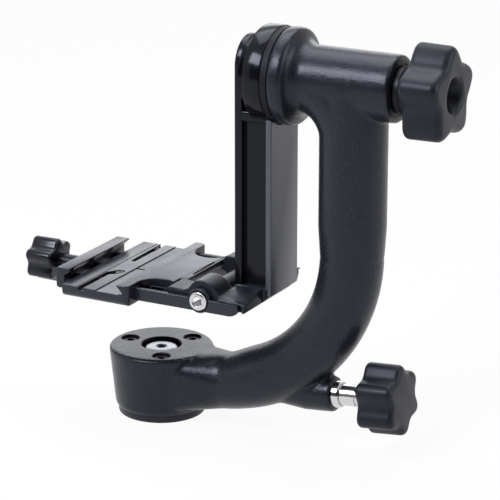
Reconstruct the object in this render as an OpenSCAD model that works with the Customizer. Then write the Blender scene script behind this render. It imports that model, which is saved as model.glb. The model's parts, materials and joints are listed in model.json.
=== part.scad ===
// Gimbal tripod head. A bent support arm pans on a base disc and carries a hanging swing arm
// at its top. The swing arm tilts about a level shaft and ends in a fold-up lens platform with
// a dovetail clamp. Millimetres, +Z up. The origin is on the pan axis at the underside of the
// base disc, and +X points towards the tilt knob.

/* [Base disc and pan bearing] */
// Radius of the base disc
disc_r = 25; // [22:0.5:28]
// Thickness of the base disc
disc_t = 5; // [4:0.5:8]
// Wall radius of the tripod stud's hole
stud_r = 4.76; // [3:0.01:6]
// Depth of the tripod stud's hole
stud_depth = 11; // [8:1:14]
// Radius of the spindle under the bearings
spindle_r = 8.5; // [7:0.5:10]
// Outer radius of the pan bearings
pan_brg_r = 17.5; // [15:0.5:19]
// Width of each pan bearing
pan_brg_w = 8; // [6:1:10]
// Radius of the brake drum
drum_r = 12; // [11:0.5:14]
// Height of the lower pan bearing's seat
brg_seat_z = 8.6; // [8:0.1:10]
// Height of the upper pan bearing's lower face
upper_brg_z = 25.4; // [24:0.1:27]

/* [Housing of the support arm] */
// Radius of the housing at its top
hous_r = 30; // [28:0.5:33]
// Radius of the housing near its foot
hous_foot_r = 26.7; // [25:0.1:28]
// Height of the housing's lower rim
hous_z0 = 3.1; // [2:0.1:4]
// Height of the housing's top face
hous_z1 = 39.5; // [37:0.5:42]
// Radius of the recess round the centre screw
recess_r = 11.35; // [10:0.05:13]
// Radius of the circle of housing cap screws
cap_pcr = 20.6; // [19.5:0.1:22]
// Radius of the counterbores for the housing cap screws
cap_cbore_r = 5; // [4.5:0.1:6]

/* [Leg, elbow and column] */
// Height of the leg's axis
leg_z = 26.1; // [24:0.1:30]
// Radius of the leg and the elbow
elbow_r = 17.6; // [15:0.1:20]
// Distance from the pan axis to the column's axis
col_x = 120.4; // [110:0.1:130]
// Radius of the column
col_r = 18.6; // [16:0.1:21]
// Distance from the pan axis to the start of the elbow
elbow_x = 35; // [30:1:50]

/* [Top tube] */
// Height of the tilt axis
tilt_z = 206.5; // [190:0.5:220]
// Radius of the top tube
tube_r = 18.3; // [16:0.1:20]
// Position of the top tube's outer end
tube_x1 = 147.7; // [140:0.1:155]
// Radius of the flange beside the hub
flange_r = 26.85; // [24:0.05:29]
// Position of the flange's face
flange_x = 80.6; // [78:0.1:84]
// Width of the flange's rim
flange_w = 8.4; // [6:0.1:11]
// Radius of the blend under the tube at the column
nook_r = 13; // [8:1:18]
// Outer radius of the tilt bearings
tilt_brg_r = 14; // [12:0.5:15]
// Width of each tilt bearing
tilt_brg_w = 7; // [5:1:9]
// Radius of the tilt shaft
shaft_r = 7.5; // [6:0.5:8.5]

/* [Pan lock] */
// Position of the pan lock boss's end
boss_x = 112; // [108:1:118]
// Height of the boss's end
boss_z = 28.9; // [26:0.1:32]
// Upward tilt of the pan lock's axis
boss_tilt = 5; // [0:0.5:8]
// Radius of the pan lock boss
boss_r = 10; // [8:0.5:12]
// Radius of the steel collar
collar_r = 7.5; // [6.5:0.1:9]
// Radius of the bright shaft
lock_shaft_r = 6; // [5:0.1:7]
// Radius of the thread behind the shaft
lock_thread_r = 5; // [4:0.1:6]
// Radius of the push rod and the brake shoe
push_r = 3.4; // [3:0.1:4]
// Gap between the shoe and the drum with the lock released
shoe_gap = 0.35; // [0.2:0.05:0.6]
// Tip radius of the pan knob
pan_knob_r = 20.5; // [18:0.5:23]
// Length of the pan knob
pan_knob_len = 22; // [18:1:26]

/* [Tilt lock] */
// Tip radius of the tilt knob
tilt_knob_r = 26.7; // [24:0.1:29]
// Position of the tilt knob's inner face
tilt_knob_x = 155.9; // [153:0.1:158]
// Length of the tilt knob
tilt_knob_len = 22.6; // [18:0.1:28]
// Number of lobes on the two large knobs
lobes = 6; // [5:1:8]
// Radius of the brass insert in the tilt knob
insert_r = 8; // [7:0.5:9]
// Radius of the shaft's threaded end
shaft_end_r = 5; // [4:0.5:6]

/* [Swing arm] */
// Outer face of the arm
arm_x0 = 56.4; // [54:0.1:59]
// Inner face of the arm
arm_x1 = 78.9; // [77:0.1:80]
// Half width of the arm
arm_hw = 16; // [14:0.5:19]
// Thickness of the arm's outer flange
flange_out_t = 4.6; // [3:0.1:7]
// Thickness of the arm's inner flange
flange_in_t = 3.2; // [2:0.1:5]
// Half thickness of the web between the flanges
web_ht = 6; // [3:0.5:9]
// Height of the recess's lower end
pocket_z0 = 89; // [86:0.5:95]
// Radius of the hub disc
hub_r = 26.85; // [24:0.05:29]
// Position of the hub disc's outer face
hub_x0 = 66.5; // [64:0.1:69]
// Position of the hub disc's inner face
hub_x1 = 77; // [75:0.1:78]
// Radius of the outer plate's rounded top
plate_r = 21; // [18:0.5:24]

/* [Foot and hinge] */
// Distance from the pan axis to the hinge bolt
hinge_x = 45.3; // [42:0.1:48]
// Height of the hinge bolt
hinge_z = 83.5; // [81:0.1:86]
// Half width over the two ears
ear_y1 = 33.5; // [30:0.5:36]
// Half width between the two ears
ear_y0 = 17.3; // [14:0.1:20]
// Radius of the barrel round the hinge bolt
barrel_r = 10.8; // [9:0.1:12]
// Tip of the near ear's wing
wing_x = 23.6; // [22.8:0.1:26]
// Height of the wing's top
wing_z = 87.7; // [86:0.1:89]
// Tip of the far ear
far_x = 31; // [29:0.1:34]
// Height of the far ear's top
far_z = 92.2; // [90:0.1:94]
// Radius of the hinge bolt's shank
bolt_r = 3; // [2.5:0.5:4]
// Radius of the hinge bolt's head
bolt_head_r = 5.25; // [4.5:0.05:6]
// Height of the foot's underside
foot_z0 = 79.7; // [78:0.1:81]
// Position of the foot's side under the column, near half
foot_x1 = 74.2; // [73:0.1:76]
// Position of the foot's side under the column, far half
foot_far_x = 70.5; // [69:0.1:72]
// Height of the inner flange's lower edge
flange_z0 = 84.9; // [83:0.1:87]

/* [Lens platform] */
// Height of the platform's top
plat_z1 = 87.5; // [86:0.5:90]
// Height of the platform's underside
plat_z0 = 75.6; // [74:0.1:78]
// Height of the clamp's floor
floor_z = 82.6; // [81:0.1:84]
// Lip of the fixed jaw
lip_x = -2; // [-4:0.1:0]
// Outer side of the fixed jaw
jaw_x1 = 5; // [4:0.5:8]
// Half length of the fixed jaw and the floor
jaw_hy = 45; // [40:0.5:50]
// Edge of the floor beside the movable jaw
floor_x0 = -37.8; // [-39:0.1:-36]
// Half width of the neck
neck_hw = 22.7; // [20:0.1:26]
// Edge of the tail beside the hinge
tail_x = 27.5; // [26:0.1:28.5]
// Thickness of each cheek
cheek_t = 3; // [2.5:0.1:4]
// Height of the cheeks' lower edges
cheek_z0 = 77.6; // [76:0.1:79]
// Height of the cheeks' top edges
cheek_z1 = 84.7; // [84:0.1:86]
// End of the cheeks beside the heel
cheek_x1 = 69.4; // [66:0.1:70]

/* [Movable jaw and clamp knob] */
// Lip of the movable jaw
mov_lip_x = -40.4; // [-42:0.1:-39]
// Outer face of the movable jaw
mov_x0 = -49; // [-53:0.5:-47]
// Half length of the movable jaw
mov_hy = 33; // [28:0.5:40]
// Height of the clamp screw's axis
screw_z = 79.1; // [78:0.1:80]
// Radius of the clamp screw and of the two guide pins
screw_r = 3; // [2.5:0.1:3]
// Half distance between the two guide pins
guide_y = 22; // [16:1:27]
// Tip radius of the clamp knob
clamp_knob_r = 13.4; // [11:0.1:16]
// Position of the clamp knob's outer face
clamp_knob_x = -84; // [-92:0.5:-78]
// Length of the clamp knob
clamp_knob_len = 17; // [14:0.5:20]
// Number of lobes on the clamp knob
clamp_lobes = 8; // [6:1:10]

/* [Hidden] */
$fn = 96;
// Radial clearance of a shaft in its bore
fit = 0.05;
// Radius of the detent pin
pin_r = 1.25;
// Gap between neighbours that move past each other
gap = 0.3;
elbow_cr = col_x - elbow_x;
elbow_cz = leg_z + elbow_cr;
cheek_y0 = ear_y1 + gap;
cheek_y1 = cheek_y0 + cheek_t;
heel_x = cheek_x1 + 2.3;
pin_y = ear_y1 - 2.2;
pin_z = hinge_z + 3.1;
upper_brg_top = upper_brg_z + pan_brg_w;
cap_a = [60, 180, 300];
fric_r = hub_r - 0.65;
knob_seat_x = tilt_knob_x - 5.4;
knob_nose_x = tilt_knob_x + tilt_knob_len;
knob_cone_x = knob_nose_x - 13.5;
shaft_step_x = knob_seat_x + 1.5;
drum_s = -(boss_x - drum_r) / cos(boss_tilt);
shoe_s = drum_s + shoe_gap;

// ---- helpers -------------------------------------------------------------------------------

// Cylinder along X from x0 to x1
module xcyl(x0, x1, r, y = 0, z = 0) {
  translate([x0, y, z]) rotate([0, 90, 0]) cylinder(h = x1 - x0, r = r);
}

// Cylinder along Y from y0 to y1
module ycyl(y0, y1, r, x = 0, z = 0) {
  translate([x, y0, z]) rotate([-90, 0, 0]) cylinder(h = y1 - y0, r = r);
}

// Cylinder along Z from z0 to z1
module zcyl(z0, z1, r, x = 0, y = 0) {
  translate([x, y, z0]) cylinder(h = z1 - z0, r = r);
}

// Box from one corner to the other
module box(a, b) {
  translate(a) cube(b - a);
}

// Outline in X and Z, given depth from y0 to y1
module side_prism(y0, y1) {
  translate([0, y1, 0]) rotate([90, 0, 0]) linear_extrude(y1 - y0) children();
}

// Solid turned about a line along X; the profile's own y runs along X and its x is the radius
module turn_x(z = 0) {
  translate([0, 0, z]) rotate([0, 90, 0]) rotate_extrude() children();
}

// The pan lock's own frame: x along its axis, 0 at the boss's end
module lock_frame() {
  translate([boss_x, 0, boss_z]) rotate([0, -boss_tilt, 0]) children();
}

// Hex socket, cut along Z from z0 upwards
module hex_cut(z0, z1, across) {
  translate([0, 0, z0]) cylinder(h = z1 - z0, r = across / sqrt(3), $fn = 6);
}

// Ball bearing drawn as one ring with a shield groove on each face
module bearing(w, r_out, r_in) {
  groove = 0.4;
  mid0 = r_in + (r_out - r_in) * 0.3;
  mid1 = r_in + (r_out - r_in) * 0.7;
  rotate_extrude() difference() {
    translate([r_in, 0]) square([r_out - r_in, w]);
    translate([mid0, -1]) square([mid1 - mid0, 1 + groove]);
    translate([mid0, w - groove]) square([mid1 - mid0, 1 + groove]);
  }
}

// Plan of a lobed grip: round lobes joined by hollows
module lobed_plan(r, n) {
  lobe_r = r * 0.26;
  hollow_at = r * 1.09;
  hollow_r = r * sin(180 / n) * 0.62;
  difference() {
    union() {
      circle(r = r * 0.86);
      for (i = [0 : n - 1]) rotate(i * 360 / n) translate([r - lobe_r, 0]) circle(r = lobe_r);
    }
    for (i = [0 : n - 1]) rotate((i + 0.5) * 360 / n) translate([hollow_at, 0]) circle(r = hollow_r);
  }
}

// Grip along +X from 0 to len, a little narrower at its outer end, edges broken by edge
module grip(r, len, n, edge) {
  intersection() {
    rotate([0, 90, 0]) linear_extrude(len) lobed_plan(r, n);
    turn_x() polygon([[0, 0], [r - edge, 0], [r, edge], [r * 0.985, len - edge * 1.6],
                      [r - edge * 1.7, len], [0, len]]);
  }
}

// ---- fixed to the tripod -------------------------------------------------------------------

module base_disc() color("#26272c") {
  chamfer = 0.8;
  difference() {
    rotate_extrude() polygon([[0, 0], [disc_r - chamfer, 0], [disc_r, chamfer],
                              [disc_r, disc_t], [0, disc_t]]);
    zcyl(-1, disc_t + 1, stud_r);
    for (a = [30, 150, 270]) rotate(a) translate([11.5, 0, 0]) {
      zcyl(-1, disc_t + 1, 1.6);
      translate([0, 0, -0.01]) cylinder(h = 1.6, r1 = 3.2, r2 = 1.6);
    }
  }
}

module pan_spindle() color("#8d9096") {
  difference() {
    union() {
      zcyl(disc_t, brg_seat_z - 0.6, 14.5);
      zcyl(disc_t, brg_seat_z, 10.5);
      zcyl(disc_t, upper_brg_top - 0.4, spindle_r);
    }
    zcyl(disc_t - 1, stud_depth, stud_r);
    zcyl(15, 40, 4 + fit);
    for (a = [30, 150, 270]) rotate(a) zcyl(disc_t - 1, 7.6, 1.5 + fit, 11.5);
  }
}

module disc_screws() color("#9a9ca1") {
  for (a = [30, 150, 270]) rotate(a) translate([11.5, 0, 0]) {
    difference() {
      union() {
        translate([0, 0, 0.1]) cylinder(h = 1.45, r1 = 2.95, r2 = 1.5);
        zcyl(1.4, 7.4, 1.5);
      }
      hex_cut(0, 1.2, 2);
    }
  }
}

module brake_drum() color("#a7a9ad") {
  difference() {
    zcyl(brg_seat_z + pan_brg_w, upper_brg_z, drum_r);
    zcyl(0, 40, spindle_r + fit);
  }
}

module preload_washer() color("#b5b7bb") {
  difference() {
    zcyl(upper_brg_top, upper_brg_top + 1, 10.6);
    zcyl(30, 40, 4.2);
  }
}

module centre_screw() color("#b9bbc0") {
  head_z = upper_brg_top + 1;
  head_t = 3.6;
  head_r = 9.3;
  difference() {
    union() {
      rotate_extrude() polygon([[0, head_z], [head_r, head_z], [head_r, head_z + head_t - 0.8],
                                [head_r - 0.8, head_z + head_t], [0, head_z + head_t]]);
      zcyl(16, head_z + 0.5, 4);
    }
    hex_cut(head_z + 0.4, head_z + 9, 6.4);
    translate([0, 0, head_z + head_t - 0.6]) cylinder(h = 1, r1 = 3.7, r2 = 4.8);
  }
}

// ---- support arm ---------------------------------------------------------------------------

// Tube, flange and the blend between them, turned in one profile
module tube_profile() {
  rim_x = flange_x + flange_w;
  cove = 8;
  difference() {
    polygon([[0, flange_x], [flange_r - 0.5, flange_x], [flange_r, flange_x + 0.5],
             [flange_r, rim_x - 3], [flange_r - 1, rim_x - 1], [flange_r - 3, rim_x],
             [tube_r + cove, rim_x], [tube_r + cove, rim_x + 0.01], [tube_r, rim_x + cove],
             [tube_r, tube_x1 - 1.2], [tube_r - 1.2, tube_x1], [0, tube_x1]]);
    translate([tube_r + cove, rim_x + cove]) circle(r = cove);
  }
}

// A quarter of a ring in the X-Z plane, from +X round to -Z of its centre
module quarter_ring(ring_r, r) {
  rotate([90, 0, 0]) rotate([0, 0, -90]) rotate_extrude(angle = 90) translate([ring_r, 0])
    circle(r = r);
}

module arm_shell() {
  blend_x = elbow_x + 0.6;
  // housing
  rotate_extrude() polygon([[0, hous_z0], [hous_foot_r - 3.6, hous_z0],
                            [hous_foot_r - 1.2, hous_z0 + 1.2], [hous_foot_r, hous_z0 + 3.6],
                            [hous_r, hous_z1 - 2], [hous_r - 0.8, hous_z1], [0, hous_z1]]);
  // blend of the housing into the leg
  hull() {
    zcyl(hous_z0 + 4, hous_z1 - 1.5, 23, 0, 0, $fn = 48);
    xcyl(blend_x - 0.5, blend_x, elbow_r - 0.05, 0, leg_z, $fn = 48);
  }
  // elbow and column
  translate([elbow_x, 0, elbow_cz]) quarter_ring(elbow_cr, elbow_r);
  translate([col_x, 0, elbow_cz]) cylinder(h = 16, r1 = elbow_r, r2 = col_r);
  zcyl(elbow_cz + 16, tilt_z, col_r, col_x);
  // blend of the column into the tube
  ring = nook_r + tube_r;
  translate([col_x - ring - 0.3, 0, tilt_z - ring]) rotate([0, -90, 0])
    quarter_ring(ring, tube_r - 0.2);
  // tube and flange
  turn_x(tilt_z) tube_profile();
  // pan lock boss
  lock_frame() turn_x() polygon([[0, -34], [boss_r - 2, -34], [boss_r + 0.2, -18],
                                 [boss_r, -1], [boss_r - 1, 0], [0, 0]]);
}

module support_arm() color("#1f2025") {
  retainer_z = brg_seat_z;
  cap_floor = 34.2;
  difference() {
    arm_shell();
    // pan side
    zcyl(hous_z0 - 1, retainer_z, disc_r + 0.5);
    zcyl(retainer_z - 1, upper_brg_top, pan_brg_r);
    zcyl(upper_brg_top - 1, hous_z1 + 1, recess_r);
    for (a = cap_a) rotate(a) {
      zcyl(retainer_z - 1, hous_z1, 2.6, cap_pcr);
      zcyl(cap_floor, hous_z1 + 1, cap_cbore_r, cap_pcr);
    }
    // pan lock
    lock_frame() {
      xcyl(-98, 1, push_r + fit);
      xcyl(-29.5, 1, lock_thread_r + fit);
      xcyl(-2, 1, collar_r + fit);
    }
    // tilt side
    xcyl(flange_x - 1, tube_x1 + 1, 11.5, 0, tilt_z);
    xcyl(flange_x - 1, flange_x + tilt_brg_w + 0.4, tilt_brg_r, 0, tilt_z);
    xcyl(tube_x1 - tilt_brg_w - 0.4, tube_x1 + 1, tilt_brg_r, 0, tilt_z);
  }
}

module pan_bearing_lower() color("#aeb1b6") {
  translate([0, 0, brg_seat_z]) bearing(pan_brg_w, pan_brg_r - fit, spindle_r + fit);
}

module pan_bearing_upper() color("#aeb1b6") {
  translate([0, 0, upper_brg_z]) bearing(pan_brg_w, pan_brg_r - fit, spindle_r + fit);
}

module bearing_retainer() color("#6f7278") {
  difference() {
    zcyl(disc_t + 0.6, brg_seat_z, disc_r + 0.3);
    zcyl(0, 20, 15.5);
    for (a = cap_a) rotate(a) zcyl(0, 20, 2.5 + fit, cap_pcr);
  }
}

module housing_cap_screws() color("#2c2d31") {
  cap_floor = 34.2;
  for (a = cap_a) rotate(a) translate([cap_pcr, 0, 0]) {
    difference() {
      union() {
        zcyl(cap_floor, cap_floor + 4, 4.25);
        zcyl(6, cap_floor + 1, 2.5);
      }
      hex_cut(cap_floor + 1.6, cap_floor + 5, 4);
    }
  }
}

module pan_lock_collar() color("#c4c6ca") {
  lock_frame() difference() {
    turn_x() polygon([[0, -2], [collar_r, -2], [collar_r, 3.4], [collar_r - 0.6, 4], [0, 4]]);
    xcyl(-3, 5, lock_shaft_r + fit);
  }
}

module tilt_bearing_inner() color("#aeb1b6") {
  translate([flange_x + 0.4, 0, tilt_z]) rotate([0, 90, 0])
    bearing(tilt_brg_w, tilt_brg_r - fit, shaft_r + fit);
}

module tilt_bearing_outer() color("#aeb1b6") {
  translate([tube_x1 - tilt_brg_w - 0.4, 0, tilt_z]) rotate([0, 90, 0])
    bearing(tilt_brg_w, tilt_brg_r - fit, shaft_r + fit);
}

module friction_ring() color("#3a3b40") {
  turn_x(tilt_z) translate([tilt_brg_r + 1, hub_x1 + 0.1])
    square([fric_r - tilt_brg_r - 1, flange_x - hub_x1 - 0.1]);
}

// ---- pan lock ------------------------------------------------------------------------------

module brake_shoe() color("#d8d5c8") {
  difference() {
    lock_frame() xcyl(shoe_s, shoe_s + 10, push_r);
    zcyl(0, 40, drum_r + shoe_gap);
  }
}

module pan_lock_rod() color("#c4c6ca") {
  lock_frame() difference() {
    union() {
      xcyl(shoe_s + 10, -28, push_r);
      xcyl(-29, -1.5, lock_thread_r);
      xcyl(-1.6, 17, lock_shaft_r);
      xcyl(16, 34, 4.5);
    }
    turn_x() translate([lock_shaft_r, 14]) circle(r = 0.8);
  }
}

module pan_knob() color("#26272b") {
  body_s = 19.7;
  lock_frame() difference() {
    union() {
      translate([body_s, 0, 0]) grip(pan_knob_r, pan_knob_len, lobes, 2.2);
      turn_x() polygon([[0, 17.4], [8.4, 17.4], [9.4, 18.4], [10.5, body_s + 1], [0, body_s + 1]]);
    }
    xcyl(10, 34.2, 4.5 + fit);
    translate([body_s + pan_knob_len - 0.8, 0, 0]) xcyl(0, 2, 9);
  }
}

// ---- swing arm -----------------------------------------------------------------------------

// Side view of the near ear: wing, valley, barrel and band
module near_ear_plan() {
  base_z = plat_z0 + 1.6;
  union() {
    polygon([[wing_x + 1.3, wing_z], [39, wing_z - 0.6], [hinge_x, wing_z - 0.4],
             [hinge_x, base_z], [34, base_z], [wing_x + 2, wing_z - 5.4],
             [wing_x, wing_z - 3.6], [wing_x, wing_z - 1.3]]);
    ear_back_plan();
  }
}

// Side view of the part that both ears share
module ear_back_plan() {
  base_z = plat_z0 + 1.6;
  intersection() {
    translate([hinge_x, hinge_z]) circle(r = barrel_r);
    translate([hinge_x - barrel_r, base_z]) square([2 * barrel_r, 3 * barrel_r]);
  }
  polygon([[hinge_x, hinge_z + 6], [hinge_x + 4.7, hinge_z + 5.6], [hinge_x + 9.7, cheek_z1 + 2.5],
           [heel_x - 1, cheek_z1 + 1.1], [foot_x1, cheek_z1 + 0.7], [foot_x1, foot_z0 + 1.7],
           [foot_x1 - 0.8, foot_z0 + 0.8], [heel_x - 1, foot_z0], [arm_x0 + 3.6, foot_z0 - 1],
           [hinge_x + 4, base_z], [hinge_x, base_z]]);
}

module far_ear_plan() {
  union() {
    polygon([[far_x + 2, far_z - 1.2], [hinge_x, far_z], [hinge_x, hinge_z - 5.5],
             [far_x + 5, hinge_z - 4.5], [far_x + 1.5, hinge_z - 1.1], [far_x, hinge_z + 1.1],
             [far_x, far_z - 2.6]]);
    intersection() {
      ear_back_plan();
      square([foot_far_x, far_z + 10]);
    }
  }
}

// Section of the foot across the arm, from the near edge to the far edge
module foot_slope(rise) {
  polygon([[-ear_y1, foot_z0 + 1.2], [-ear_y1, cheek_z1 + 0.9], [-ear_y1 + 7.5, cheek_z1 + 1.1 + rise],
           [-arm_hw, cheek_z1 + 2 + 2 * rise], [-web_ht, pocket_z0 + 1], [web_ht, pocket_z0 + 1],
           [arm_hw, cheek_z1 + 2 + 2 * rise], [ear_y1 - 7.5, cheek_z1 + 1.1 + rise],
           [ear_y1, cheek_z1 + 0.9], [ear_y1, foot_z0 + 1.2]]);
}

// Thin slice of that section at a place along X
module foot_slice(x, rise) {
  translate([x, 0, 0]) rotate([90, 0, 90]) linear_extrude(0.4) foot_slope(rise);
}

// Side view of the foot's block up to a side at x1
module foot_plan(x1) {
  polygon([[arm_x0, foot_z0], [x1 - 3, foot_z0], [x1 - 0.8, foot_z0 + 0.8], [x1, foot_z0 + 1.7],
           [x1, cheek_z1 + 0.7], [arm_x0, cheek_z1 + 1.8]]);
}

// Side view of the lip over a cheek, the stop of the fold
module lip_plan(x0, x1) {
  polygon([[x0, cheek_z1], [x1, cheek_z1], [x1, cheek_z1 + 0.9], [x0, cheek_z1 + 1.5]]);
}

module swing_arm() color("#1c1d21") {
  arm_top = tilt_z;
  flange_in_x = arm_x1 - flange_in_t;
  lip_x0 = arm_x0 - 0.2;
  difference() {
    union() {
      // outer plate and flange
      box([arm_x0, -arm_hw, foot_z0], [arm_x0 + flange_out_t, arm_hw, arm_top]);
      xcyl(arm_x0, arm_x0 + flange_out_t, plate_r, 0, tilt_z);
      // inner flange
      box([flange_in_x, -arm_hw, flange_z0], [arm_x1, arm_hw, tilt_z - 20]);
      // web
      box([arm_x0 + 1, -web_ht, pocket_z0 - 1], [arm_x1 - 1, web_ht, tilt_z - 10]);
      // neck and hub disc
      turn_x(tilt_z) polygon([[0, arm_x0 + 2], [plate_r - 1, arm_x0 + flange_out_t],
                              [plate_r - 2.2, arm_x0 + flange_out_t + 2],
                              [plate_r - 1.4, hub_x0 - 0.8], [hub_r - 1, hub_x0],
                              [hub_r, hub_x0 + 1], [hub_r, hub_x1 - 0.5], [hub_r - 0.5, hub_x1],
                              [0, hub_x1]]);
      // foot
      side_prism(-ear_y1, -ear_y0) near_ear_plan();
      side_prism(ear_y0, ear_y1) far_ear_plan();
      side_prism(-ear_y1, arm_hw) foot_plan(foot_x1);
      side_prism(arm_hw - 1, ear_y1) foot_plan(foot_far_x);
      side_prism(-arm_hw, arm_hw) polygon([
        [arm_x0, foot_z0], [heel_x - 1, foot_z0], [foot_x1 - 0.8, foot_z0 + 0.8], [arm_x1, flange_z0],
        [arm_x1, pocket_z0], [arm_x0, pocket_z0]]);
      // top of the foot, rising towards the arm
      intersection() {
        hull() {
          foot_slice(arm_x0 + 1, 0);
          foot_slice(foot_x1 - 0.4, 1.3);
        }
        union() {
          box([arm_x0, -cheek_y1, foot_z0], [foot_x1, arm_hw, pocket_z0 + 9]);
          box([arm_x0, arm_hw - 1, foot_z0], [foot_far_x, cheek_y1, pocket_z0 + 9]);
        }
      }
      // heel and the lips over the cheeks
      side_prism(-cheek_y1, 1 - ear_y1) polygon([[heel_x, foot_z0 + 0.2], [foot_x1 - 0.8, foot_z0 + 0.8],
                                                [foot_x1, foot_z0 + 1.7], [foot_x1, cheek_z1 + 0.7],
                                                [heel_x, cheek_z1 + 0.9]]);
      side_prism(-cheek_y1, 1 - ear_y1) lip_plan(lip_x0, heel_x + 0.5);
      side_prism(ear_y1 - 1, cheek_y1) lip_plan(lip_x0, foot_far_x);
    }
    // room for the friction ring
    xcyl(hub_x1, arm_x1 + 1, hub_r + gap, 0, tilt_z);
    // seat of the shaft's flange, and its screws
    xcyl(arm_x0 - 1, arm_x0 + flange_out_t, 14 + fit, 0, tilt_z);
    xcyl(arm_x0, hub_x1 + 1, shaft_r + fit, 0, tilt_z);
    for (a = [90, 210, 330]) translate([0, 0, tilt_z]) rotate([a, 0, 0])
      xcyl(arm_x0, 71, 2 + fit, 0, 10.8);
    // hinge
    ycyl(-60, 60, bolt_r + fit, hinge_x, hinge_z);
    // seat of the detent pin
    xcyl(far_x - 1, far_x + 5, pin_r + fit, pin_y, pin_z);
  }
}

module tilt_shaft() color("#b9bbc0") {
  difference() {
    union() {
      xcyl(arm_x0 + 0.6, arm_x0 + flange_out_t, 14, 0, tilt_z);
      xcyl(arm_x0 + 1, shaft_step_x, shaft_r, 0, tilt_z);
      xcyl(shaft_step_x - 1, knob_cone_x - 2, shaft_end_r, 0, tilt_z);
    }
    for (a = [90, 210, 330]) translate([0, 0, tilt_z]) rotate([a, 0, 0]) {
      xcyl(arm_x0, 71, 2 + fit, 0, 10.8);
      translate([arm_x0 + 0.59, 0, 10.8]) rotate([0, 90, 0]) cylinder(h = 1.75, r1 = 3.8, r2 = 2 + fit);
    }
  }
}

module shaft_screws() color("#2c2d31") {
  for (a = [90, 210, 330]) translate([0, 0, tilt_z]) rotate([a, 0, 0]) translate([0, 0, 10.8]) {
    difference() {
      union() {
        translate([arm_x0 + 0.7, 0, 0]) rotate([0, 90, 0]) cylinder(h = 1.6, r1 = 3.55, r2 = 2);
        xcyl(arm_x0 + 2, 70, 2);
      }
      translate([arm_x0, 0, 0]) rotate([0, 90, 0]) hex_cut(0, 2.1, 2.5);
    }
  }
}

module hinge_bolt() color("#c4c6ca") {
  head_y = cheek_y1 + 1.6;
  seat_y = cheek_y1 - 1.4;
  difference() {
    translate([hinge_x, 0, hinge_z]) rotate([90, 0, 0]) rotate_extrude()
      polygon([[0, -41.4], [bolt_r - 0.4, -41.4], [bolt_r, -41], [bolt_r, seat_y],
               [bolt_head_r, seat_y], [bolt_head_r, head_y - 0.6], [bolt_head_r - 0.6, head_y],
               [0, head_y]]);
    translate([hinge_x, 1 - head_y, hinge_z]) rotate([90, 0, 0]) hex_cut(-1.4, 3, 5);
  }
}

module hinge_nut() color("#9a9ca1") {
  difference() {
    translate([hinge_x, cheek_y1 + 0.1, hinge_z]) rotate([-90, 0, 0])
      cylinder(h = 4, r = 5.77, $fn = 6);
    ycyl(30, 60, bolt_r + fit, hinge_x, hinge_z);
  }
}

module detent_pin() color("#c4c6ca") {
  xcyl(far_x - 0.8, far_x + 4.8, pin_r, pin_y, pin_z);
}

// ---- tilt lock -----------------------------------------------------------------------------

module tilt_knob() color("#232428") {
  seat_r = tilt_knob_r * 0.495;
  cone_r0 = tilt_knob_r * 0.172;
  cone_r1 = tilt_knob_r * 0.352;
  translate([0, 0, tilt_z]) difference() {
    union() {
      translate([tilt_knob_x, 0, 0]) grip(tilt_knob_r, tilt_knob_len, lobes, 2.6);
      turn_x() polygon([[0, knob_seat_x], [seat_r, knob_seat_x],
                        [seat_r + 1.2, knob_seat_x + 1.2], [seat_r + 2, tilt_knob_x + 1],
                        [0, tilt_knob_x + 1]]);
    }
    xcyl(knob_seat_x - 0.5, knob_cone_x - 1, insert_r);
    turn_x() polygon([[0, knob_cone_x], [cone_r0, knob_cone_x], [cone_r1, knob_nose_x + 0.01],
                      [0, knob_nose_x + 0.01]]);
  }
}

module tilt_knob_insert() color("#a98f4e") {
  difference() {
    xcyl(knob_seat_x, knob_cone_x - 1.4, insert_r - fit, 0, tilt_z);
    xcyl(knob_seat_x - 1, knob_nose_x, shaft_end_r + fit, 0, tilt_z);
    xcyl(knob_seat_x - 1, shaft_step_x + gap, shaft_r + fit, 0, tilt_z);
  }
}

module tilt_washer() color("#b5b7bb") {
  difference() {
    xcyl(tube_x1 + gap, knob_seat_x, tilt_knob_r * 0.472, 0, tilt_z);
    xcyl(tube_x1, knob_seat_x + 1, shaft_r + fit, 0, tilt_z);
  }
}

// ---- lens platform -------------------------------------------------------------------------

// Plan of the neck and the tail, with the corner cut away for the wing
module neck_plan() {
  waist_r = 11.5;
  waist_x = 16.3;
  wing_gap = 0.5;
  difference() {
    translate([jaw_x1 - 1, -neck_hw - waist_r]) square([tail_x - jaw_x1 + 1, 2 * (neck_hw + waist_r)]);
    for (s = [-1, 1]) translate([waist_x, s * (neck_hw + waist_r)]) circle(r = waist_r);
    translate([tail_x - 10, ear_y1 - 0.3]) square([20, 20]);
    translate([wing_x - wing_gap - 0.4, -60]) square([20, 60 - ear_y0 + wing_gap]);
  }
}

// Side view of a cheek
module cheek_plan() {
  corner = 5;
  union() {
    polygon([[jaw_x1 - 4, cheek_z0], [cheek_x1 - corner, cheek_z0], [cheek_x1 - 1.8, cheek_z0 + 1.4],
             [cheek_x1 - 0.2, cheek_z0 + 2.8], [cheek_x1, cheek_z0 + 4], [cheek_x1, cheek_z1],
             [jaw_x1 - 4, cheek_z1]]);
    translate([hinge_x, hinge_z]) intersection() {
      circle(r = 7);
      translate([-8, cheek_z0 - hinge_z]) square([16, 16]);
    }
  }
}

// Side view of the fixed jaw, undercut towards -X
module fixed_jaw_side() {
  undercut = 3.2;
  polygon([[lip_x, plat_z1], [lip_x, plat_z1 - 0.7], [lip_x + undercut, plat_z1 - 0.7 - undercut],
           [lip_x + undercut, floor_z - 0.8], [lip_x - 1, floor_z - 0.8], [lip_x - 1, plat_z0],
           [jaw_x1, plat_z0], [jaw_x1, plat_z1]]);
}

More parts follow.
